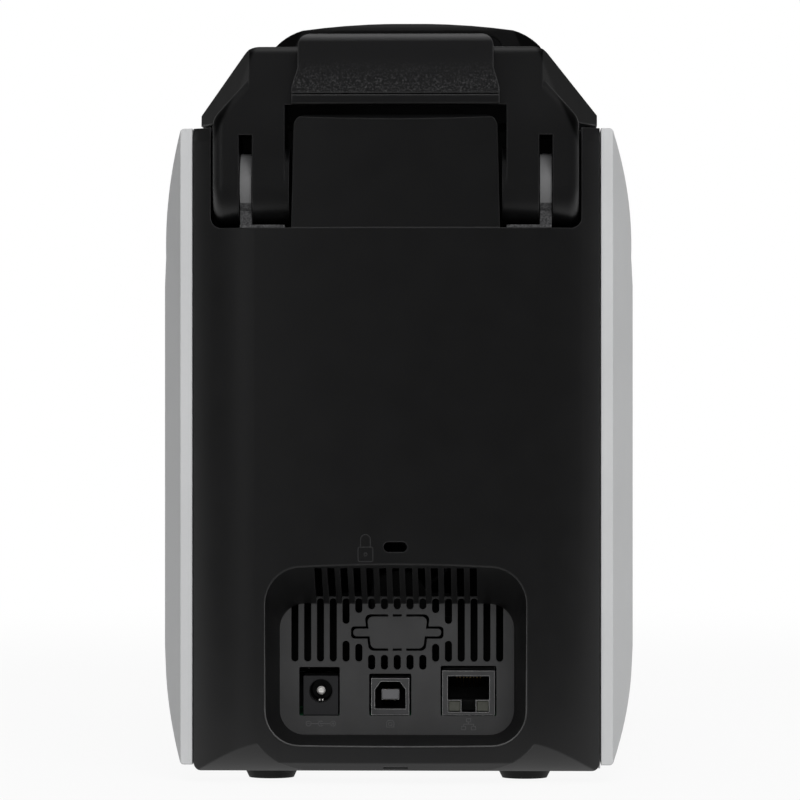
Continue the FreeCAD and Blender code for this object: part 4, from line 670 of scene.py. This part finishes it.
# soft bead round the mouth of the recess, painted lighter as a highlight; the recess tapers from rim to
# bottom (half width, low, high, corner), and the bead is a closed profile of (inwards, down)
mouth = dict(rim=(39.95, 11.2, 66.6, 11.0), bottom=(35.3, 13.8, 53.3, 7.5), depth=19.0, over=1.0, sunk=0.02,
             cornerPoints=9, split=8, bead=((0.0, 0.0), (0.2, 0.02), (0.36, 0.2), (0.36, 0.5), (0.0, 0.7)))
glint = dict(dark=(0.008, 0.008, 0.008), light=(0.085, 0.085, 0.085), top=(50.0, 64.0, 1.0, 0.12))


def makeMouth():
    rim, bottom = (finer(softBoxLine(-half, half, low, high, corner, mouth["cornerPoints"]), mouth["split"])
                   for half, low, high, corner in (mouth["rim"], mouth["bottom"]))
    away = bottom - rim
    line = rim + away * ((crowned(rim[:, :1]) + mouth["over"]) / mouth["depth"])
    away /= np.linalg.norm(away, axis=1)[:, None]
    place = onRear(0, 0)
    rows = [place(*(line + away * inset).T, np.full(len(line), -mouth["sunk"] - drop))
            for inset, drop in mouth["bead"]]
    build("mouthBead", [(np.array(rows), True, False)], "housing", finish("beadGlint", beadGlint))


def beadGlint(m):
    # painted highlight: brightest at the sides and below, all but gone along the top
    broad = m.noise(6.0, detail=3.0)
    shine = (0.3 + broad * 0.7) * m.axes()[2].smooth(*glint["top"])
    return m.set(Base_Color=m.mix(shine, glint["dark"], glint["light"]), Roughness=0.3 + broad * 0.1,
                 Normal=m.bump(m.noise(0.3, detail=2.0), strength=0.2, distance=0.03), Specular_IOR_Level=0.5)


# inlet: distances are measured into the socket from its mouth, and widths from the edge of its round hole
inlet = dict(x=22.95, z=27.0, mouth=164.4, hole=3.4, pin=1.28, back=9.2, neck=2.1, dome=0.9, apex=0.01,
             sleeve=((8.9, -0.5), (8.9, -0.02), (2.6, -0.02), (2.6, -0.22), (8.6, -0.22), (8.6, -0.5)),
             rim=((0.05, 0.02), (-0.08, 0.05), (-0.1, 0.14), (-0.06, 0.22), (0.05, 0.24)))
leaf = dict(apart=0.45, half=0.25, back=7.0, front=1.5, low=0.3, high=0.75, soft=0.08)


def makeInlet():
    x, z, y, r, pin = (inlet[name] for name in ("x", "z", "mouth", "hole", "pin"))
    tip = [(y - inlet["neck"] + inlet["dome"] * math.sin(a), pin * math.cos(a))
           for a in np.linspace(0, math.pi / 2 - inlet["apex"], 8)]
    stem = [(y - inlet["back"], inlet["apex"]), (y - inlet["back"], pin)]
    build("inletPin", [(ring(x, z, stem + tip), False, False)], "housing", pinGlintMetal)
    low, high = z - r + leaf["low"], z - r + leaf["high"]
    leaves = [block(x + side - leaf["half"], x + side + leaf["half"], y - leaf["back"], y - leaf["front"],
                    low, high, leaf["soft"]) for side in (-leaf["apart"], leaf["apart"])]
    build("inletSpring", leaves, "housing", pinGlintMetal)
    sleeve = [(y - deep, r + more) for deep, more in inlet["sleeve"]]
    build("inletSleeve", [(ring(x, z, sleeve), True, False)], "housing", paintedShadeBlack)
    rim = [(y - deep, r + more) for deep, more in inlet["rim"]]
    build("inletRim", [(ring(x, z, rim, count=48), True, False)], "housing", blackPlastic)


def makeLining(name, socket, lining):
    # thin insulation in a socket's room: back, mouth, and the smaller inside, closed behind; its near-black finish
    # is a painted shade deep in the socket
    outer = np.array(lining["outline"])
    inner = outer * lining["shrink"] + (0, lining["lift"])
    near, back, inside = lining["deep"]
    rows = [np.column_stack([socket["x"] - line[:, 0], np.full(len(line), socket["mouth"] - deep),
                             socket["low"] + line[:, 1]])
            for line, deep in ((outer, back), (outer, near), (inner, near), (inner, inside))]
    build(name, [(np.array(rows), False, True)], "housing", paintedShadeBlack)


# square data socket: its D-shaped room, the tongue in it and two contacts on each face of the tongue
square = dict(x=2.0, mouth=164.6, low=19.7)
squareRoom = dict(outline=((-4.6, 1.95), (4.6, 1.95), (4.6, 7.68), (2.86, 10.05), (-2.86, 10.05), (-4.6, 7.68)),
                  shrink=(0.955, 0.97), lift=0.16, deep=(0.35, 8.9, 8.6))
tongue = dict(half=2.67, back=8.8, front=1.3, low=4.54, high=7.66, soft=0.3)
contact = dict(at=1.25, half=0.45, back=8.0, front=1.9, rows=(7.6, 4.44), thick=0.16, soft=0.05)


def makeSquare():
    x, y, z = square["x"], square["mouth"], square["low"]
    makeLining("squareLiner", square, squareRoom)
    bar = block(x - tongue["half"], x + tongue["half"], y - tongue["back"], y - tongue["front"],
                z + tongue["low"], z + tongue["high"], tongue["soft"])
    build("squareTongue", [bar], "housing", tongueGrey)
    strips = [block(x + side - contact["half"], x + side + contact["half"], y - contact["back"],
                    y - contact["front"], z + row, z + row + contact["thick"], contact["soft"])
              for side in (-contact["at"], contact["at"]) for row in contact["rows"]]
    build("squareContacts", strips, "housing", gold)


# network socket: its room, the way for the plug's latch below, eight bent wires and two lamps
jack = dict(x=-21.6, mouth=164.6, low=19.7)
jackRoom = dict(outline=((-6.28, 4.62), (6.28, 4.62), (6.28, 11.78), (-6.28, 11.78)), shrink=(0.97, 0.97),
                lift=0.25, deep=(1.2, 11.9, 11.6))
latchRoom = dict(outline=((-2.13, 0.92), (2.13, 0.92), (2.13, 4.66), (-2.13, 4.66)), shrink=(0.93, 0.93),
                 lift=0.18, deep=(0.4, 11.5, 11.2))
wire = dict(count=8, pitch=1.02, radius=0.17, sides=8, run=((4.2, 11.2), (7.0, 9.8), (9.8, 8.5), (10.8, 8.0)))
guide = dict(at=4.25, half=1.75, back=1.8, front=0.15, low=1.1, high=4.2, soft=0.25)


def makeJack():
    x, y, z = jack["x"], jack["mouth"], jack["low"]
    makeLining("jackLiner", jack, jackRoom)
    makeLining("latchLiner", jack, latchRoom)
    turn = np.linspace(0, 2 * np.pi, wire["sides"], endpoint=False)
    wires = []
    for i in range(wire["count"]):
        u = x + (i - (wire["count"] - 1) / 2) * wire["pitch"]
        rows = [np.column_stack([u + wire["radius"] * np.cos(turn), np.full(len(turn), y - deep),
                                 z + high + wire["radius"] * np.sin(turn)]) for deep, high in wire["run"]]
        wires.append((np.array(rows), False, True))
    build("jackContacts", wires, "housing", gold)
    lamps = [block(x + side - guide["half"], x + side + guide["half"], y - guide["back"], y - guide["front"],
                   z + guide["low"], z + guide["high"], guide["soft"]) for side in (-guide["at"], guide["at"])]
    build("jackLamps", lamps, "housing", lens)


# small signs under the sockets: polarity, square plug and a network of three boxes
signs = dict(z=17.1, line=0.2, high=0.06, netDrop=0.4, boxes=((0, 1.5), (-1.5, -0.9), (1.5, -0.9)))
polarity = [(arc(0, 0, 0.75, 35, 325, 16), False), (arc(0, 0, 0.2, 0, 330, 8), True),
            ([(-2.9, 0), (-0.75, 0)], False), ([(0.3, 0), (2.9, 0)], False),
            (arc(-3.7, 0, 0.75, 0, 345, 18), True), (arc(3.7, 0, 0.75, 0, 345, 18), True),
            ([(-4.1, 0), (-3.3, 0)], False), ([(3.3, 0), (4.1, 0)], False), ([(3.7, -0.4), (3.7, 0.4)], False)]
plug = [([(-1.1, -1.0), (1.1, -1.0), (1.1, 0.5), (0.6, 1.0), (-0.6, 1.0), (-1.1, 0.5)], True),
        (softBoxLine(-0.5, 0.5, -0.5, 0.3, 0.1, 3), True)]
network = [(softBoxLine(u - 0.65, u + 0.65, v - 0.5, v + 0.5, 0.1, 3), True) for u, v in signs["boxes"]]
network += [([(0, 1.0), (0, 0.3)], False), ([(-1.5, -0.4), (-1.5, 0.3), (1.5, 0.3), (1.5, -0.4)], False)]


def makeSigns():
    low = signs["z"]
    for name, strokes, place in (("polaritySign", polarity, onPort(inlet["x"], low)),
                                 ("plugSign", plug, onPort(square["x"], low)),
                                 ("networkSign", network, onPort(jack["x"], low - signs["netDrop"]))):
        drawSign(name, strokes, signs, place, "housing", lineGrey)


# signs on the front's keys: power, cross and arrow
keys = dict(z=89.0, proud=0.1, line=0.4, high=0.01, power=30.0, left=-9.0, right=9.0)
keySigns = dict(
    power=("powerSign", [(arc(0, 0, 1.9, 125, 415, 28), False), ([(0, 0.6), (0, 2.4)], False)]),
    left=("crossSign", [([(-1.4, -1.4), (1.4, 1.4)], False), ([(-1.4, 1.4), (-0.3, 0.3)], False),
                        ([(0.3, -0.3), (1.4, -1.4)], False)]),
    right=("arrowSign", [([(-2.1, 0), (0.4, 0)], False), ([(0.4, -1.3), (2.2, 0), (0.4, 1.3)], True)]))


def onKey(x0):
    # u to the right as seen from the front, on the key's flat face
    face = frontFace(x0) - keys["proud"]

    def place(u, v, h):
        return np.stack([x0 + u, face - h, keys["z"] + v], -1)
    return place


def makeKeySigns():
    for key, (name, strokes) in keySigns.items():
        drawSign(name, strokes, keys, onKey(keys[key]), key + "_key", linePale)


plate = dict(columns=25, soft=0.02)


def crossBand(x0, x1, z0, z1, back, proud, face=crown["face"]):
    # a low plate that follows the crown of the front from x0 to x1
    x = np.linspace(x0, x1, plate["columns"])
    y = frontFace(x, face)
    soft = plate["soft"]
    loop = [(y + back, z0), (y - proud, z0 + soft), (y - proud, z1 - soft), (y + back, z1)]
    return np.stack([np.column_stack([x, depth, np.full_like(x, z)]) for depth, z in loop], 1), False, True


# the display: its face and a narrow border, on the lens behind the front's face
screen = dict(lens=182.6, half=12.5, low=104.0, high=117.0, border=1.1, back=0.3, face=0.03, frame=0.06,
              dark=(0.07, 0.085, 0.07), light=(0.12, 0.14, 0.115), cell=18.0)


def makeDisplay():
    half, low, high, rim = (screen[name] for name in ("half", "low", "high", "border"))
    face = crossBand(-half, half, low, high, screen["back"], screen["face"], screen["lens"])
    build("displayFace", [face], "housing", finish("displayFace", screenFace))
    sides = [(-half - rim, half + rim, z, z + rim) for z in (low - rim, high)]
    sides += [(x, x + rim, low, high) for x in (-half - rim, half)]
    bars = [crossBand(*side, screen["back"], screen["frame"], screen["lens"]) for side in sides]
    build("displayBorder", bars, "housing", blackPlastic)


def screenFace(m):
    # reflective liquid crystal with nothing shown, a little uneven, in fine square cells
    across, up = ((way * screen["cell"]).wave().absolute().power(0.25) for way in m.axes()[::2])
    cells = across.least(up)
    cloud = m.noise(6.0, detail=2.0)
    return m.set(Base_Color=m.mix(cells * 0.5 + cloud * 0.5, screen["dark"], screen["light"]),
                 Roughness=0.22 + cloud * 0.08, Normal=m.bump(cells, strength=0.05, distance=0.02))


# grip ribs beside the finger lips of the door and the flap
grip = dict(top=dict(door=184.0, output_tray=71.0), ends=(14.5, 24.0), count=4, pitch=2.4, tall=1.1, back=0.3,
            proud=0.26)


def makeGrips():
    near, far = grip["ends"]
    for body, top in grip["top"].items():
        tops = [top - i * grip["pitch"] for i in range(grip["count"])]
        bands = [crossBand(*ends, high - grip["tall"], high, grip["back"], grip["proud"])
                 for high in tops for ends in ((-far, -near), (near, far))]
        build(body + "Grip", bands, body, finishes["blackShell"])


# lamp beside the keys, and the ring round the power button
lamp = dict(x=20.0, z=89.0, radius=1.15, proud=0.3, sunk=0.4, apex=0.02)
powerRing = dict(radius=5.15, line=0.7, high=0.18)


def makeLamp():
    face, r = frontFace(lamp["x"]), lamp["radius"]
    dome = [(face - lamp["proud"] * math.cos(a), r * math.sin(a))
            for a in np.linspace(lamp["apex"], math.pi / 2, 8)]
    dome.append((face + lamp["sunk"], r))
    build("readyLamp", [(ring(lamp["x"], lamp["z"], dome, count=28), False, True)], "housing", lens)

    def onFront(u, v, h):
        x = keys["power"] + u
        return np.stack([x, frontFace(x) - h, keys["z"] + v], -1)
    circle = [(arc(0, 0, powerRing["radius"], 0, 354, 60), True)]
    drawSign("powerRing", circle, powerRing, onFront, "housing", ringGrey)


# a card and an arrow on the inner deck, the way that cards go in
deck = dict(top=190.0, y=-20.0, line=0.7, high=0.15)
cardWay = [([(-2.5, -9), (2.5, -9), (2.5, 1), (6, 1), (0, 8), (-6, 1), (-2.5, 1)], True),
           (softBoxLine(-17, 17, -13, 13, 3), True)]


def makeWay():
    def onDeck(u, v, h):
        return np.stack([u, deck["y"] + v, deck["top"] + h], -1)
    drawSign("cardWay", cardWay, deck, onDeck, "housing", lineGrey)


# springs over the print head, under the lid's bracket; they are carried with the lid
spring = dict(x=24.4, y=70.0, low=151.3, tall=10.4, turns=6, radius=3.6, wire=0.5, travel=1.5, left=0.1,
              steps=24, sides=10)


def makeSprings():
    turn = np.linspace(0, 2 * np.pi * spring["turns"], spring["turns"] * spring["steps"] + 1)[:, None]
    circle = np.linspace(0, 2 * np.pi, spring["sides"], endpoint=False)[None, :]
    # tube round a helix: its section lies in the plane of the radius and the axis
    reach = spring["radius"] + spring["wire"] * np.cos(circle)
    rise = spring["low"] + spring["tall"] * turn / turn[-1] + spring["wire"] * np.sin(circle)
    coils = [(np.stack([x + reach * np.cos(turn), spring["y"] + reach * np.sin(turn), rise], -1), False, True)
             for x in (-spring["x"], spring["x"])]
    piece = build("headSprings", coils, "lid", finishes["turnedSteel"])
    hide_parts("head_springs")
    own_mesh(piece)


makePadlock()
makeMouth()
makeSigns()
makeInlet()
makeSquare()
makeJack()
makeKeySigns()
makeDisplay()
makeGrips()
makeLamp()
makeWay()
makeSprings()


# floor and light: a pale sweep that the camera sees as white, large soft boxes, and narrow ones for the gloss
studio = dict(half=4.0, shade=0.5, world=0.3, dim=0.12, backdrop=(0.84, 0.98), fade=(0.19, 0.32),
              shadow=(0.35, 1.1, 0.92, 1.0))
middle = (0, 0, 0.12)
boxes = dict(  # place, aim, size in metres, watts, and what the box lights
    key=((-0.5, 2.3, 1.3), middle, (1.6, 1.3), 58.0, "diffuse"),
    left=((-1.5, 0.3, 0.5), middle, (0.9, 1.1), 1.4, "diffuse"),
    right=((1.5, 0.3, 0.5), middle, (0.9, 1.1), 1.4, "diffuse"),
    top=((0, 0.0, 1.7), middle, (1.4, 1.4), 12.0, "diffuse"),
    front=((0.3, -2.0, 0.9), middle, (1.4, 1.0), 14.0, "diffuse"),
    skim=((0, 0.1, 1.7), middle, (1.4, 1.2), 5.0, "gloss"),
    glow=((1.15, 2.1, 0.3), (0, 0.15, 0.12), (0.4, 1.2), 2.6, "gloss"))


def rays(m):
    # 1 for camera, for glossy and for transmitted rays
    return [m.add("ShaderNodeLightPath", output=name)
            for name in ("Is Camera Ray", "Is Glossy Ray", "Is Transmission Ray")]


def alongY(m, output):
    # the Y part of the coordinates
    return m.add("ShaderNodeSeparateXYZ", inputs={0: m.add("ShaderNodeTexCoord", output=output)}, output=1)


def whiteWhenSeen(m, shader):
    # camera and glossy rays meet plain white; near the machine its shadow stays in
    camera, glossy, clear = rays(m)
    coords = m.add("ShaderNodeTexCoord", output=3)
    reach = m.add("ShaderNodeVectorMath", dict(operation="LENGTH"), {0: coords}, 1)
    share = camera.most(glossy).most(clear) * reach.smooth(*studio["shadow"])
    away = alongY(m, 3)
    glow = m.add("ShaderNodeEmission",
                 inputs={"Strength": camera.most(away.smooth(*studio["fade"], 1.0, studio["dim"]))})
    share = share.most(away.smooth(*studio["fade"]) * glossy)
    return m.add("ShaderNodeMixShader", inputs={0: share, 1: shader, 2: glow})


def makeFloor():
    h = studio["half"]
    mesh = bpy.data.meshes.new("floor")
    mesh.from_pydata([(-h, -h, 0), (h, -h, 0), (h, h, 0), (-h, h, 0)], [], [(0, 1, 2, 3)])
    floor = bpy.data.objects.new("floor", mesh)
    bpy.context.scene.collection.objects.link(floor)
    m = Finish("floorSweep")
    m.set(Base_Color=(studio["shade"],) * 3 + (1.0,), Roughness=0.9)
    m.link(whiteWhenSeen(m, Sock(m, m.shader.outputs[0])), m.tree.nodes["Material Output"].inputs["Surface"])
    mesh.materials.append(m.material)


def softBox(name, place, aim, size, watts, lights):
    data = bpy.data.lights.new(name, "AREA")
    data.shape = "RECTANGLE"
    data.size, data.size_y = size
    data.energy = watts
    light = bpy.data.objects.new(name, data)
    bpy.context.scene.collection.objects.link(light)
    away = np.array(place, float) - np.array(aim, float)
    away /= np.linalg.norm(away)
    light.location = place
    light.rotation_euler = (math.acos(away[2]), 0, math.atan2(away[1], away[0]) + math.pi / 2)
    light.visible_glossy = lights != "diffuse"
    light.visible_diffuse = lights != "gloss"


def makeLight():
    # the backdrop is white to the camera, and in gloss where it stands, behind the machine
    world = bpy.data.worlds.new("studio")
    bpy.context.scene.world = world
    world.use_nodes = True
    m = Finish(tree=world.node_tree)
    background = m.tree.nodes["Background"]
    background.inputs[0].default_value = (1, 1, 1, 1)
    camera, glossy, clear = rays(m)
    level = studio["world"]
    shown = (0.0 - alongY(m, 0)).smooth(*studio["backdrop"], studio["dim"], 1.0) - level
    light = level + glossy.most(clear) * shown + camera * (1.0 - level)
    m.link(light, background.inputs["Strength"])
    for name, box in boxes.items():
        softBox(name, *box)


makeFloor()
makeLight()
bpy.context.scene.view_settings.view_transform = "Standard"
print("studio ready")

for obj in bpy.context.scene.objects:
    if obj.type == "MESH" and not obj.data.materials:
        print("no material on", obj.name)
